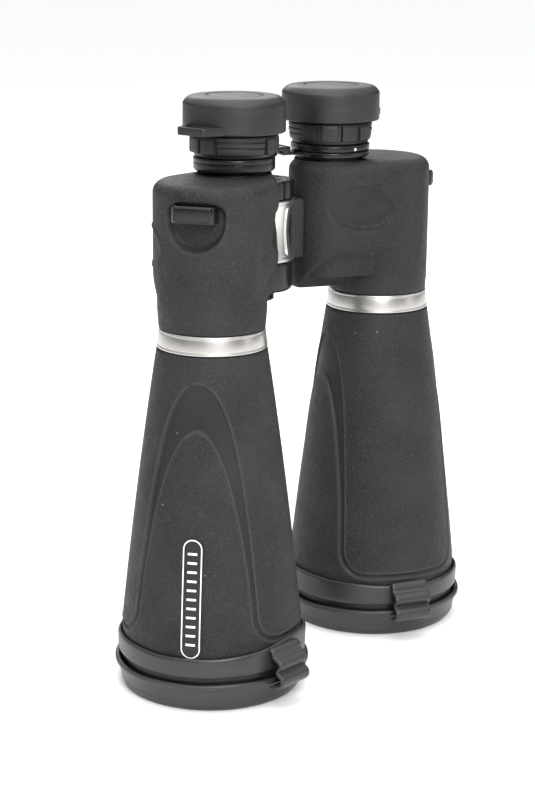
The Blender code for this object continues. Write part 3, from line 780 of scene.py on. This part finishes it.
def egg(r_out, shift, r_in, count=181):
    """Dense outline: an outer arc near the objective axis, an inner one on the eyepiece axis."""
    centre_u = RIGHT.objective_u - shift
    turn = math.acos((r_in - r_out) / (centre_u - RIGHT.eye_u))
    a = np.linspace(-turn, turn, count)
    b = np.linspace(turn, TURN - turn, count)
    outer = np.stack([centre_u + r_out * np.cos(a), r_out * np.sin(a)], axis=1)
    inner = np.stack([RIGHT.eye_u + r_in * np.cos(b), r_in * np.sin(b)], axis=1)
    return np.vstack([outer, inner])


def foot(z, count=361):
    """Dense outline of the round foot: it widens across the half, and stays upright at the outer end."""
    a = np.linspace(0, TURN, count)[:-1]
    along, across = 25.3, 25.7 + min(0.085 * (z - HOUSING_Z0), 0.75)
    return np.stack([RIGHT.objective_u + along * np.cos(a), across * np.sin(a)], axis=1)


def filled(outline, gap, fewest=1):
    """Points along a closed outline: a step per gap of each side, or the fewest steps."""
    dense = []
    for here, there in zip(outline, np.roll(outline, -1, 0)):
        steps = max(int(np.linalg.norm(there - here) / gap), fewest)
        dense += [here + (there - here) * k / steps for k in range(steps)]
    return np.array(dense)


def reach_at(outline, angles, centre=(POLE_U, 0), gap=0.6, fewest=1):
    """Distance from a centre to an outline in each direction; straight sides are filled in first."""
    dense = filled(outline, gap, fewest) - centre
    return np.interp(angles, np.arctan2(dense[:, 1], dense[:, 0]), np.hypot(*dense.T), period=TURN)


def soft_min(a, b, k):
    """The lesser of two values, rounded where they cross."""
    low = np.minimum(a, b)
    return low - k * np.log(np.exp(-(a - low) / k) + np.exp(-(b - low) / k))


def column_angles(count=336):
    """Directions round the pole, closer together at the strap pocket and along the lower flank."""
    fine = filled(egg(WALL_OUT_R, WALL_SHIFT, WALL_IN_R, 400), 0.2)
    step = np.linalg.norm(np.roll(fine, -1, 0) - fine, axis=1)
    weight = 1 + 0.9 * smoothstep((fine[:, 0] - 86) / 4) + 0.25 * (fine[:, 1] < 0)
    total = np.concatenate([[0], np.cumsum(step * weight)])
    wanted = np.arange(count) / count * total[-1]
    angle = np.unwrap(np.arctan2(fine[:, 1], fine[:, 0] - POLE_U))
    angle = np.append(angle, angle[0] + TURN)
    return np.interp(wanted, total, angle)


FLANK_LEAN, FLANK_TAPER = 0.72, 0.19


def flank_half(u, z):
    """Half width between the lower flanks, which lean in to the ledge and taper towards the hinge."""
    at_hinge_end, start_u, start_z = 5.2, 23.7, 185.0
    return at_hinge_end + FLANK_LEAN * (z - start_z) + FLANK_TAPER * (u - start_u)


def box_reach(z, angles):
    """The prism box's outline at one height, before its recesses."""
    grow = float(smoothstep((z - LEDGE_Z) / (FULL_Z - LEDGE_Z)))
    top = max(z - (HOUSING_Z1 - SHOULDER), 0.0) / SHOULDER
    inset = SHOULDER * (1 - math.sqrt(max(1 - top * top, 0.0)))
    r_out = 26.6 + 3.4 * grow - inset
    reach = reach_at(egg(r_out, 1.0 + 4.0 * grow, 21.0 - inset), angles)
    across, ahead = np.sin(angles), np.cos(angles)
    slope = np.abs(across) - FLANK_TAPER * ahead
    flank = np.where(slope > 0.02, flank_half(POLE_U, z) / np.maximum(slope, 0.02), 1e3)
    reach = soft_min(reach, np.clip(flank, 2.0, 1e3), 0.7)
    # the lower side is flatter between the outer round and the prism box
    flat_u, flat_v, drop = 80.7, 25.9, 0.07
    slope = -across + drop * ahead
    flat = np.where(slope > 0.02, (flat_v + drop * (flat_u - POLE_U) - inset) / np.maximum(slope, 0.02), 1e3)
    return soft_min(reach, flat, 0.5)


def housing_recess(points):
    """(depth, smooth, painted highlight) of the thumb recesses and the plain oval pads, at points of the
    outer skin.
    """
    u, v, z = points[..., 0], points[..., 1], points[..., 2]
    x, y = (u - THUMB_U) / THUMB_HALF_U, (z - THUMB_Z) / THUMB_HALF_Z
    e = np.hypot(x, y + 0.10 * x)
    tilt = np.clip(0.62 - 0.42 * y + 0.16 * x, 0.15, 1.2)
    oval = smoothstep((1 - e) / 0.24)
    depth = 3.3 * tilt * oval
    smooth = 0.75 * smoothstep((0.86 - e) / 0.12)
    e2 = np.hypot((u - PAD_U) / PAD_HALF_U, (z - PAD_Z) / PAD_HALF_Z)
    ring = smoothstep((1.0 - e2) / 0.05) * smoothstep((e2 - 0.80) / 0.05) * (v > 0)
    depth = depth - 0.55 * ring
    smooth = np.maximum(smooth, ring * 0.8)
    leaf = (z < 202) & (u < 60) & (np.abs(v) > flank_half(u, z) - 0.7)
    smooth = np.maximum(smooth, 0.85 * leaf)
    # painted highlight on the raised rim of the oval pads
    return depth, smooth, 0.6 * ring


def sink_pocket(half, skin_rows, edge_highlight):
    """Sink the strap pocket into the outer end of the skin, in place; returns the painted highlight with the
    pocket's rim added.
    """
    lug_u = float(np.dot(plan_centre(f"{half.name}_strap_lug") - HINGE, half.u))
    pocket_floor = lug_u - 4.0
    u, v, z = skin_rows[..., 0], skin_rows[..., 1], skin_rows[..., 2]
    round_part = np.hypot(v, np.minimum(z - POCKET_Z, 0))
    squarish = (v ** 4 + (1.75 * np.maximum(z - POCKET_Z, 0)) ** 4) ** 0.25
    away = np.where(z > POCKET_Z, squarish, round_part)
    sink = smoothstep((POCKET_R - away) / (POCKET_R - POCKET_FLOOR_R)) * (u > 80)
    skin_rows[..., 0] = u - np.maximum(u - pocket_floor, 0) * sink
    # painted highlight on the pocket's lower rim, which faces up to the light
    rim = bell((away - POCKET_R + 0.5) / 1.1) * (u > 84) * (z < POCKET_Z + 1)
    return np.maximum(edge_highlight, 0.55 * rim)


def housing_top(edge, eye):
    """Rows that close the shoulder's last row to the neck hole, and the hole's own outline."""
    turn = np.arctan2(edge[:, 1], edge[:, 0] - eye[0])
    hole = eye + NECK_HOLE * np.stack([np.cos(turn), np.sin(turn)], axis=1)
    top = []
    for t in (0.2, 0.4, 0.6, 0.8, 0.93, 1.0):
        z = HOUSING_Z1 - 0.35 * smoothstep((t - 0.8) / 0.2)
        top.append(np.column_stack([edge[:, :2] * (1 - t) + hole * t, np.full(len(edge), z)]))
    return top, hole


def housing_inside(hole, angles, direction, around_foot):
    """Rows of the housing's inner wall, from the neck hole down to the bore in the foot."""
    reach = reach_at(egg(22.0, 5.0, 18.8), angles)
    wall = np.array([POLE_U, 0]) + direction * reach[:, None]
    inside = [(hole, 243.2), (wall, 243.0), (wall, 190.2)]
    for r, z in ((19.5, 190.0), (19.5, HOUSING_Z0 + 1), (23.5, HOUSING_Z0)):
        flat = np.stack([RIGHT.objective_u + r * np.cos(around_foot), r * np.sin(around_foot)], axis=1)
        inside.append((flat, z))
    return [np.column_stack([flat, np.full(len(flat), z)]) for flat, z in inside]


def housing(half):
    """Armoured prism housing: round foot, ledge, recesses, strap pocket, rounded shoulder, neck hole."""
    angles = column_angles()
    direction = np.stack([np.cos(angles), np.sin(angles)], axis=1)

    def skin(z, inset=0.0, with_box=True):
        reach = box_reach(z, angles) - inset
        if z < FULL_Z:
            round_foot = reach_at(foot(z), angles)
            reach = np.maximum(reach, round_foot) if with_box else round_foot
        flat = np.array([POLE_U, 0]) + direction * reach[:, None]
        return np.column_stack([flat, np.full(len(angles), z)])

    rows = [skin(z, with_box=False) for z in (HOUSING_Z0, HOUSING_Z0 + 0.3, 181.5, LEDGE_Z - 0.05)]
    rows[0][:, :2] += (np.array([RIGHT.objective_u, 0]) - rows[0][:, :2]) * 0.012
    around_foot = np.arctan2(rows[0][:, 1], rows[0][:, 0] - RIGHT.objective_u)
    rows += [skin(LEDGE_Z, 1.6), skin(LEDGE_Z + 0.25, 0.8), skin(LEDGE_Z + 0.8, 0.25)]
    shoulder_z = HOUSING_Z1 - SHOULDER
    rows += [skin(z) for z in np.arange(LEDGE_Z + 1.5, shoulder_z, 0.68)]
    rows += [skin(shoulder_z + SHOULDER * math.sin(t) * 0.9999) for t in np.radians(np.linspace(0, 90, 11))]
    skin_rows = np.array(rows)
    depth, smooth, edge_highlight = housing_recess(skin_rows)
    # the recesses sink towards the middle of the box
    inward = np.array([POLE_U, 0]) - skin_rows[..., :2]
    inward[..., 0] *= 0.25
    inward /= np.maximum(np.linalg.norm(inward, axis=-1, keepdims=True), 1e-6)
    skin_rows[..., :2] += inward * depth[..., None]
    edge_highlight = sink_pocket(half, skin_rows, edge_highlight)
    # keep the rim of the shoulder outside the neck hole
    eye = np.array([RIGHT.eye_u, 0])
    away = skin_rows[..., :2] - eye
    pushed = eye + away * np.maximum((NECK_HOLE + 0.7) / np.linalg.norm(away, axis=-1, keepdims=True), 1.0)
    skin_rows[..., :2] = np.where(skin_rows[..., 2:] > shoulder_z, pushed, skin_rows[..., :2])
    top, hole = housing_top(skin_rows[-1], eye)
    inside = housing_inside(hole, angles, direction, around_foot)
    points = np.concatenate([skin_rows, np.array(top), np.array(inside)])
    extra = np.zeros((len(top) + len(inside), len(angles)))
    # the second field is the painted highlight on rims and edges
    fields = {"smooth": np.vstack([np.clip(smooth, 0, 1), extra]), "edge_highlight": np.vstack([edge_highlight, extra])}
    half.piece("housing_armour", [grid(half.place(points), flip=half.side < 0)], ARMOUR, ["prism_housing"],
               fields=fields, sharp=55)


def strap_lug(half):
    """Moulded bridge for the neck strap, its front face framed by a thin raised rim."""
    node = f"{half.name}_strap_lug"
    low, high = heights(node)
    front = half.objective_u + 27.4
    back = float(np.dot(plan_centre(node) - HINGE, half.u)) - 5.0
    wide, leg, bar, chamfer = 10.4, 2.4, 2.3, 1.4
    outline = [(back, -wide), (front - chamfer, -wide), (front, -wide + chamfer), (front, wide - chamfer),
               (front - chamfer, wide), (back, wide), (back, wide - leg), (front - bar, wide - leg),
               (front - bar, leg - wide), (back, leg - wide)]
    shape = extruded(outline, (low, high), lambda a, b, c: half.place((a, b, c)), 0.55)
    across, tall = wide - 1.5, (high - low) / 2 - 0.75
    rim = soften([(-across, -tall, 1.0), (across, -tall, 1.0), (across, tall, 1.0), (-across, tall, 1.0)], 5)
    path = [half.place((front + 0.02, a, (low + high) / 2 + b)) for a, b in rim]
    half.piece("lug_bridge", [shape, swept(path, 0.38)], GLOSS, ["strap_lug"], weld=True)


# ---------------------------------------------------------------- eyepieces

def eyepiece_tube(half, body):
    """Focusing tube with a fine thread where it leaves the housing."""
    z0, z1 = heights(f"{half.name}_eyepiece_tube")
    r = half.radius("eyepiece_tube")
    bore = half.radius("eye_lens") + 0.3
    corners = [(bore, z0, 0.2), (r, z0, 0.3), (r, HOUSING_Z1 - 1.5, 0)]
    for k in range(2):
        z = HOUSING_Z1 + 0.15 + 0.6 * k
        corners += [(r, z, 0.05), (r - 0.35, z + 0.15, 0.05), (r - 0.35, z + 0.3, 0.05), (r, z + 0.45, 0.05)]
    corners += [(r, z1, 0.4), (bore, z1, 0.3)]
    piece(f"{half.name}_eye_tube", [turned(corners, half.eye, 128, 3)], MATT, body,
          [f"{half.name}_eyepiece_tube"])


def pads_round(half, a):
    """(where the grip ring has its runs of pads, where the pads themselves are), 0 to 1 at each angle."""
    runs, pads = np.zeros(len(a)), np.zeros(len(a))
    run_half, pad_half, pad_pitch = 57.0, 11.6, 28.0
    for run in (0, 180):
        away = degrees_from(a, {-1: -39.0, 1: -129.0}[half.side] + run)
        runs = np.maximum(runs, smoothstep((run_half - np.abs(away)) / 2))
        for k in (-1.5, -0.5, 0.5, 1.5):
            pads = np.maximum(pads, smoothstep((pad_half - np.abs(away - pad_pitch * k)) / 1.2))
    return runs, pads


def grip_ring(half):
    """Eyecup's grip ring: thin steps all round, and two runs of raised flat pads with gaps between."""
    z0, z1, r = GRIP_Z0, GRIP_Z1, GRIP_R - 1.7
    inner, sleeve = half.radius("eyepiece_tube") + 0.35, CUP_R - 2.3
    outline = soften([(inner, z0, 0.2), (r - 2.2, z0, 0.4), (r - 1.5, z0 + 1.6, 0.3),
                      (r - 0.7, z0 + 2.0, 0.15), (r - 0.3, z0 + 4.6, 0.3), (r - 0.9, z0 + 4.95, 0.1),
                      (r - 0.8, z0 + 5.35, 0.1), (r - 0.1, z0 + 5.5, 0.2), (r, z0 + 7.4, 0.2),
                      (r - 0.65, z0 + 7.7, 0.1), (r - 0.6, z0 + 8.1, 0.1), (r, z0 + 8.3, 0.2),
                      (r - 0.1, z1 - 0.5, 0.3), (r - 0.5, z1, 0.3), (sleeve, z1, 0.1),
                      (sleeve, z0 + 4.4, 0.1), (inner, z0 + 4.4, 0.1)], 3)
    level, z = outline[:, :1], outline[:, 1:]
    a = all_round(432)
    runs, pads = pads_round(half, a)
    tall = smoothstep((z - z0 - 1.7) / 0.4) * smoothstep((z1 - 1.3 - z) / 0.4)
    pad_level = r + 0.35 - 1.5 * (1 - pads)
    radii = np.where(level > r - 1.2, level + (pad_level - level) * runs * tall, level)
    half.piece("grip_ring", [grid(around(half.eye, radii, a, z))], EYE_SOFT, ["eyecup_ring"], "eyecup_ring",
               sharp=30)


def eyecup(half):
    """Twist-up eyecup: a sleeve below, and a soft rolled rubber rim above."""
    inner, sleeve = half.radius("eyepiece_tube") + 0.65, CUP_R - 2.65
    z0, z1, flange = CUP_Z0, CUP_Z1, GRIP_Z1 + 0.4
    corners = [(inner, z0, 0.2), (sleeve, z0, 0.3), (sleeve, flange, 0.1), (CUP_R, flange, 0.4)]
    ribs = 5
    for k in range(ribs):
        z = flange + 1.8 + 1.5 * k
        corners += [(CUP_R, z, 0.2), (CUP_R - 0.4, z + 0.3, 0.15), (CUP_R - 0.4, z + 0.6, 0.15),
                    (CUP_R, z + 0.9, 0.2)]
    corners += [(CUP_R, z1 - 1.4, 1.0), (CUP_R - 1.2, z1, 1.0), (inner + 1.6, z1, 1.0),
                (inner + 0.2, z1 - 2.0, 0.8), (inner, z1 - 6, 0.5)]
    half.piece("eyecup_rubber", [turned(corners, half.eye, 128, 3)], EYE_SOFT, ["eyecup"], "eyecup")


def arc_points(r, half_angle):
    """Nine points of an arc about the eyepiece's axis, from half_angle to -half_angle in degrees."""
    return [(r * math.cos(t), r * math.sin(t)) for t in np.radians(np.linspace(half_angle, -half_angle, 9))]


def cap_loop(half, low):
    """Flat loop for the neck strap on the cap's outer side, with a slot through it."""
    middle, steps = np.array([27.7, 0.0]), 96
    a = (np.arange(steps) + 0.5) * TURN / steps
    plate = [(32.4, -7.2), (32.4, 7.2), (31.6, 8.3), *arc_points(24.3, 31), (31.6, -8.3)]
    slot = [(30.1, -5.6), (30.1, 5.6), *arc_points(25.35, 19.5)]
    outer, hole = (reach_at(np.array(line), a, middle, 1.0, 24) for line in (plate, slot))
    z0, z1 = low + 0.35, low + 4.2
    levels = ((outer - 0.5, z0), (outer - 0.12, z0 + 0.15), (outer, z0 + 0.6), (outer, z1 - 0.6),
              (outer - 0.12, z1 - 0.15), (outer - 0.5, z1), (hole + 0.4, z1), (hole + 0.1, z1 - 0.15),
              (hole, z1 - 0.5), (hole, z0 + 0.5), (hole + 0.1, z0 + 0.15), (hole + 0.4, z0))
    rows = np.array([around(middle, reach, a, z) for reach, z in levels])
    rows[..., 0] *= half.side
    rows[..., :2] += half.eye
    return grid(rows, flip=half.side < 0)


def eyepiece_cover(half):
    """Slip-on eyepiece cap: a bevelled top with a round panel, and a flat loop for the neck strap."""
    top, low = EYECAP_Z1 + 1.5, EYECAP_Z0
    r, inner, roof, bevel, panel_r, panel_deep = 24.9, CUP_R + 0.4, EYECAP_Z1 - 3.0, 3.2, 14.2, 0.5
    corners = [(inner, low, 0.3), (r - 0.5, low, 0.4), (r, low + 0.6, 0.4),
               (r - 0.05, top - bevel - 0.3, 0.5), (r - 0.9, top - bevel + 0.9, 0.6),
               (r - bevel + 0.5, top - 0.55, 1.2), (r - bevel - 1.6, top - 0.1, 0.8), (panel_r, top, 0.2),
               (panel_r - 0.3, top - panel_deep, 0.15), (panel_r - 1.0, top - panel_deep, 0.15),
               (panel_r - 1.3, top - 0.12, 0.2), (0, top - 0.05, 0), (0, roof, 0), (inner, roof, 0.8)]
    half.piece("eyepiece_cover", [turned(corners, half.eye, 160), cap_loop(half, low)], EYE_SOFT,
               ["eyepiece_cap"], "eyepiece_cap", weld=True)


ARM_Z0, ARM_Z1 = 252.4, 256.8         # the flat bars of the bridge
COLLAR_R, HUB_R, ARM_HALF = 19.9, 8.0, 5.5


def arm_collar(half, z0, z1, groove):
    """Collar clamped round an eyepiece tube, with an optional thin groove."""
    bore, r = half.radius("eyepiece_tube") + 0.3, COLLAR_R
    corners = [(bore, z0, 0.1), (r - 1.1, z0, 0.2), (r, z0 + 0.9, 0.3)]
    if groove:
        corners += [(r, groove - 0.25, 0.08), (r - 0.35, groove - 0.1, 0.05), (r - 0.35, groove + 0.1, 0.05),
                    (r, groove + 0.25, 0.08)]
    corners += [(r, z1 - 0.5, 0.3), (r - 0.5, z1, 0.3), (bore, z1, 0.1)]
    return turned(corners, half.eye, 144, 3)


def bridge(half, body):
    """Arm of the focus bridge: hub, flat bar, collar. The right hub lies on the left one."""
    split, half_gap = (ARM_Z0 + ARM_Z1) / 2, 0.15
    inner, outer = 6.2, half.eye_u - 17.6
    if half.side < 0:
        low, high, step_u = ARM_Z0, split - half_gap, 9.2
        outline = [(inner, low + 0.05), (step_u, low + 0.05), (step_u, ARM_Z0), (outer, ARM_Z0),
                   (outer, ARM_Z1), (step_u, ARM_Z1), (step_u, high - 0.05), (inner, high - 0.05)]
        collar = arm_collar(half, COLLAR_Z0, COLLAR_Z1, COLLAR_Z0 + 4.3)
    else:
        low, high, step_u, step_z, thin_u = split + half_gap, ARM_Z1, 9.6, 253.4, 14.0
        outline = [(inner, low), (step_u, low), (step_u, ARM_Z0), (outer, ARM_Z0), (outer, step_z),
                   (thin_u, step_z), (thin_u, high), (inner, high)]
        collar = arm_collar(half, COLLAR_Z0, step_z + 0.2, None)
    hub = turned([(2.3, low, 0.1), (HUB_R, low, 0.4), (HUB_R, high, 0.4), (2.3, high, 0.1)], HINGE, 72, 3)
    bar = extruded(outline, (-ARM_HALF, ARM_HALF), lambda a, b, c: half.place((a, c, b)), 0.45)
    piece(f"{half.name}_focus_arm", [hub, bar, collar], GLOSS, body, [f"{half.name}_bridge_arm"], weld=True,
          sharp=32)


def diopter_ring():
    """Dioptre ring over the right collar, with its white index dot."""
    z0, z1 = heights("diopter_ring")
    r = radius("diopter_ring")
    bore = RIGHT.radius("eyepiece_tube") + 0.3
    corners = [(bore, z0, 0.1), (r - 0.4, z0, 0.25), (r, z0 + 0.5, 0.25), (r, z1 - 1.3, 0.1),
               (r - 0.3, z1 - 1.15, 0.08), (r - 0.3, z1 - 0.95, 0.08), (r, z1 - 0.8, 0.1), (r, z1 - 0.4, 0.2),
               (r - 0.4, z1, 0.2), (bore, z1, 0.1)]
    piece("diopter_collar", [turned(corners, RIGHT.eye, 144, 3)], GLOSS, "diopter_ring", ["diopter_ring"],
          sharp=32)
    dot_angle, dot_r = math.radians(-103.0), 0.72
    out = np.array([math.cos(dot_angle), math.sin(dot_angle), 0])
    along = np.array([-math.sin(dot_angle), math.cos(dot_angle), 0])
    at = np.array([*RIGHT.eye, (z0 + z1) / 2 - 0.3]) + out * (r - 0.2)
    b = all_round(20)[:, None]
    rows = [at + reach * (np.cos(b) * along + np.sin(b) * np.array([0, 0, 1])) + proud * out
            for reach, proud in ((0.0, 0.0), (dot_r, 0.0), (dot_r, 0.25), (0.5, 0.36), (0.0, 0.4))]
    piece("diopter_dot", [grid(np.array(rows))], INK, "diopter_ring", weld=True)


# ---------------------------------------------------------------- hinge and focus

def web(half, end, low, high, half_wide, bevel):
    """Flat web from the hinge to one housing."""
    return extruded([(12.5, low), (end, low), (end, high), (12.5, high)], (-half_wide, half_wide),
                    lambda a, b, c: half.place((a, c, b)), bevel)


def hinge_lug():
    """Black lower lug of the left half, with a web to its housing."""
    half = HALVES[-1]
    r, z0, z1 = 16.0, LUG_Z0, LUG_Z1
    axle_r, socket_r, socket_top = 4.1, 7.6, LUG_Z0 + 9.2
    corners = [(axle_r, z1, 0.1), (axle_r, socket_top, 0), (socket_r, socket_top, 0), (socket_r, z0, 0.3),
               (r - 1.2, z0, 0.4), (r, z0 + 1.2, 0.5), (r, z1 - 0.8, 0.4), (r - 0.6, z1, 0.3)]
    shapes = [turned(corners, HINGE, 144, 3), web(half, half.eye_u - 20.7, z0 + 2.4, z1 - 0.8, 9.0, 0.8)]
    piece("hinge_lug_shell", shapes, GLOSS, half.body, ["left_hinge_lug"], weld=True)


def hinge_tube():
    """Silver hinge tube with flared ends, a slight waist and one long groove on its lower side."""
    z0, z1, r, bore = TUBE_Z0, TUBE_Z1, 16.5, 4.2
    neck, waist, waist_rows = r - 0.8, 1.5, 30
    outline = soften([(bore, z0, 0.1), (r - 0.7, z0, 0.2), (r, z0 + 0.6, 0.3), (r, z0 + 2.0, 0.4),
                      (neck, z0 + 2.8, 0.4), (neck, z1 - 2.2, 0.4), (r - 0.2, z1 - 1.4, 0.4),
                      (r - 0.2, z1 - 0.4, 0.3), (r - 0.7, z1, 0.2), (bore, z1, 0.1)])
    middle, half_long = (z0 + z1) / 2, (z1 - z0) / 2
    narrow = neck - waist * (1 - np.square(np.linspace(-1, 1, waist_rows)))
    body = np.column_stack([narrow, np.linspace(z0 + 3.3, z1 - 2.7, waist_rows)])
    split = int(np.argmax(outline[:, 1] > middle))
    outline = np.vstack([outline[:split], body, outline[split:]])
    level, z = outline[:, :1], outline[:, 1:]
    a = all_round(240)
    across = np.radians(degrees_from(a, -82.0)) * r
    from_middle = np.abs(z - middle)
    from_line = np.hypot(across, np.maximum(from_middle - (half_long - 5.0), 0))
    groove = smoothstep((1.5 - from_line) / 0.8) * (from_middle < half_long - 3) * (level > 10)
    points = around(HINGE, level - 1.3 * groove, a, z)
    piece("hinge_sleeve", [grid(points)], SILVER, RIGHT.body, ["right_hinge_tube"])
    armour = web(RIGHT, RIGHT.eye_u - 20.0, z0 + 0.6, z1 - 0.6, 9.2, 1.2)
    piece("hinge_web_armour", [armour], ARMOUR, RIGHT.body)


def focus_wheel():
    """Focus wheel: shallow finger scallops, a bevelled top and a countersunk face."""
    z0, z1, r, bore = WHEEL_Z0, WHEEL_Z1, WHEEL_R, 2.9
    outline = soften([(bore, z0, 0.1), (r - 1.1, z0, 0.2), (r, z0 + 0.9, 0.5), (r, z1 - 1.0, 0.5),
                      (r - 1.0, z1, 0.4), (r - 3.4, z1, 0.2), (r - 3.8, z1 - 0.7, 0.2), (6.2, z1 - 0.7, 0.2),
                      (5.6, z1 - 0.1, 0.2), (bore, z1 - 0.1, 0.1)])
    a, scallops = all_round(288), 12
    dip = 0.7 * np.square(0.5 + 0.5 * np.cos(scallops * a))
    radii = outline[:, :1] - dip * smoothstep((outline[:, :1] - r + 4) / 3)
    piece("focus_wheel_grip", [grid(around(HINGE, radii, a, outline[:, 1:]))], GLOSS, "focus_wheel",
          ["focus_wheel"], "armour_rubber")


def tripod_cap():
    """Cover screwed over the tripod socket, with three grip lines and a stem."""
    z0, z1 = heights("tripod_cover")
    r, seat, stem_r = radius("tripod_cover"), LUG_Z0 - 0.3, 2.8
    corners = [(0, z0 + 0.5, 0), (2.6, z0 + 0.5, 0.2), (3.0, z0, 0.2), (r - 1.0, z0, 0.4), (r, z0 + 0.9, 0.4)]
    for k in range(3):
        z = z0 + 1.5 + 0.9 * k
        corners += [(r, z, 0.1), (r - 0.4, z + 0.2, 0.1), (r - 0.4, z + 0.4, 0.1), (r, z + 0.6, 0.1)]
    corners += [(r, seat, 0.2), (stem_r, seat, 0.1), (stem_r, z1, 0.5), (0, z1, 0)]
    piece("tripod_cap", [turned(corners, HINGE, 72, 3)], GLOSS, "tripod_cover", ["tripod_cover"], weld=True)


def focus_spindle():
    """Focus screw with its thread as rings."""
    z0, z1 = heights("focus_screw")
    r, pitch = radius("focus_screw"), 1.0
    corners = [(0, z0, 0), (r - 0.4, z0, 0.2)]
    for k in range(int((z1 - z0 - 1) / pitch)):
        z = z0 + 0.5 + pitch * k
        corners += [(r, z, 0.05), (r, z + 0.35, 0.05), (r - 0.35, z + 0.55, 0.05), (r - 0.35, z + 0.8, 0.05)]
    corners += [(r, z1, 0.1), (0, z1, 0)]
    piece("focus_spindle", [turned(corners, HINGE, 48, 2)], STEEL, "focus_bridge", ["focus_screw"], weld=True)


def bridge_bolt():
    """Screw that joins the two arms, its head sunk for a driver."""
    z0, z1 = heights("bridge_screw")
    corners = [(0, z0, 0), (2.0, z0, 0.1), (2.0, z1 - 2.3, 0), (5.0, z1 - 2.3, 0.2), (5.0, z1 - 0.8, 0.3),
               (4.2, z1, 0.3), (1.9, z1, 0.1), (1.7, z1 - 1.2, 0.1), (0, z1 - 1.2, 0)]
    piece("bridge_bolt", [turned(corners, HINGE, 72, 3)], STEEL, "focus_bridge", ["bridge_screw"], weld=True)


def inner_nodes():
    """The hidden pieces stay as CAD made them, with their real finishes."""
    looks = {"hinge_axle": STEEL, "tripod_socket": BRASS}
    for name in SIDES.values():
        looks[f"{name}_upper_prism"] = GLASS
        looks[f"{name}_lower_prism"] = GLASS
        looks[f"{name}_prism_shelf"] = MATT
    for node, look in looks.items():
        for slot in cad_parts[node].material_slots:
            slot.material = look


# ---------------------------------------------------------------- camera, light, floor

def camera():
    """Long lens from the front left, a little above, looking down at the whole object."""
    place = Vector((-0.7567, -0.5974, 0.3773))
    turn, pitch, roll = (math.radians(v) for v in (50.68, 14.374, 0.461))
    ahead = Vector((math.sin(turn) * math.cos(pitch), math.cos(turn) * math.cos(pitch), -math.sin(pitch)))
    right = Vector((math.cos(turn), -math.sin(turn), 0))
    up = right.cross(ahead)
    right, up = (right * math.cos(roll) + up * math.sin(roll), up * math.cos(roll) - right * math.sin(roll))
    rows = [(right[k], up[k], -ahead[k], place[k]) for k in range(3)] + [(0, 0, 0, 1)]
    data = bpy.data.cameras.new("camera")
    data.lens, data.sensor_width = 88.04, 36.0
    data.clip_start, data.clip_end = 0.05, 60.0
    obj = bpy.data.objects.new("camera", data)
    obj.matrix_world = Matrix(rows)
    bpy.context.scene.collection.objects.link(obj)
    bpy.context.scene.camera = obj


def lamp(name, place, target, size, power):
    """A large softbox aimed at a point."""
    data = bpy.data.lights.new(name, "AREA")
    data.shape, data.size, data.energy = "DISK", size, power
    obj = bpy.data.objects.new(name, data)
    obj.location = place
    obj.rotation_euler = (Vector(target) - Vector(place)).to_track_quat("-Z", "Y").to_euler()
    bpy.context.scene.collection.objects.link(obj)


def studio():
    """White table and surroundings, with soft lamps above and to each side."""
    reach = 14.0
    mesh = bpy.data.meshes.new("floor")
    mesh.from_pydata([(-reach, -reach, 0), (reach, -reach, 0), (reach, reach, 0), (-reach, reach, 0)], [],
                     [(0, 1, 2, 3)])
    mesh.materials.append(floor_look())
    floor = bpy.data.objects.new("floor", mesh)
    floor.location = (0, 0, -0.0002)
    bpy.context.scene.collection.objects.link(floor)
    middle = (0, 0, 0.16)
    lamp("overhead", (-0.1, 0.0, 1.6), middle, 1.3, 12)
    lamp("front_key", (-0.9, -1.15, 1.05), middle, 0.8, 24)
    lamp("back_top", (1.1, 1.3, 1.25), middle, 1.3, 13)
    lamp("right_fill", (0.75, -1.3, 0.45), middle, 0.5, 1.0)
    sky()


def sky():
    """White overhead, falling to a dim horizon, so that upright sides stay dark; white where it is seen."""
    world = bpy.data.worlds.new("studio")
    world.use_nodes = True
    tree = world.node_tree
    place = tree.nodes.new("ShaderNodeTexCoord")
    parts = tree.nodes.new("ShaderNodeSeparateXYZ")
    ramp = tree.nodes.new("ShaderNodeMapRange")
    tree.links.new(place.outputs["Generated"], parts.inputs[0])
    tree.links.new(parts.outputs["Z"], ramp.inputs["Value"])
    for socket, value in (("From Min", 0.3), ("From Max", 0.75), ("To Min", 0.03), ("To Max", 1.5)):
        ramp.inputs[socket].default_value = value
    rays = tree.nodes.new("ShaderNodeLightPath")
    seen = tree.nodes.new("ShaderNodeMath")
    seen.operation = "MAXIMUM"
    tree.links.new(ramp.outputs["Result"], seen.inputs[0])
    tree.links.new(rays.outputs["Is Camera Ray"], seen.inputs[1])
    background = tree.nodes["Background"]
    background.inputs["Color"].default_value = (1.0, 1.0, 1.0, 1.0)
    tree.links.new(seen.outputs["Value"], background.inputs["Strength"])
    bpy.context.scene.world = world
    bpy.context.scene.view_settings.view_transform = "Standard"


# ---------------------------------------------------------------- assembly

def build():
    """Make every visible piece."""
    for half in HALVES.values():
        name = half.name
        for maker in (barrel, badge, trim_ring, cap_ring, front_rim, objective_cover, strap, objective_cell):
            maker(half)
        glass(f"{name}_crown_lens", half.objective, half.body, 1.6, 3.4)
        glass(f"{name}_flint_lens", half.objective, half.body, 0.0, -1.5)
        housing(half)
        strap_lug(half)
        eye_body = "focus_bridge" if half.side < 0 else "right_eyepiece"
        eyepiece_tube(half, eye_body)
        glass(f"{name}_field_lens", half.eye, eye_body, 1.5, 2.0)
        glass(f"{name}_eye_lens", half.eye, eye_body, 2.0, 2.5)
        grip_ring(half)
        eyecup(half)
        eyepiece_cover(half)
        bridge(half, "focus_bridge" if half.side < 0 else "right_bridge_arm")
    for maker in (diopter_ring, hinge_lug, hinge_tube, focus_wheel, tripod_cap, focus_spindle, bridge_bolt):
        maker()
    inner_nodes()


camera()
build()
studio()
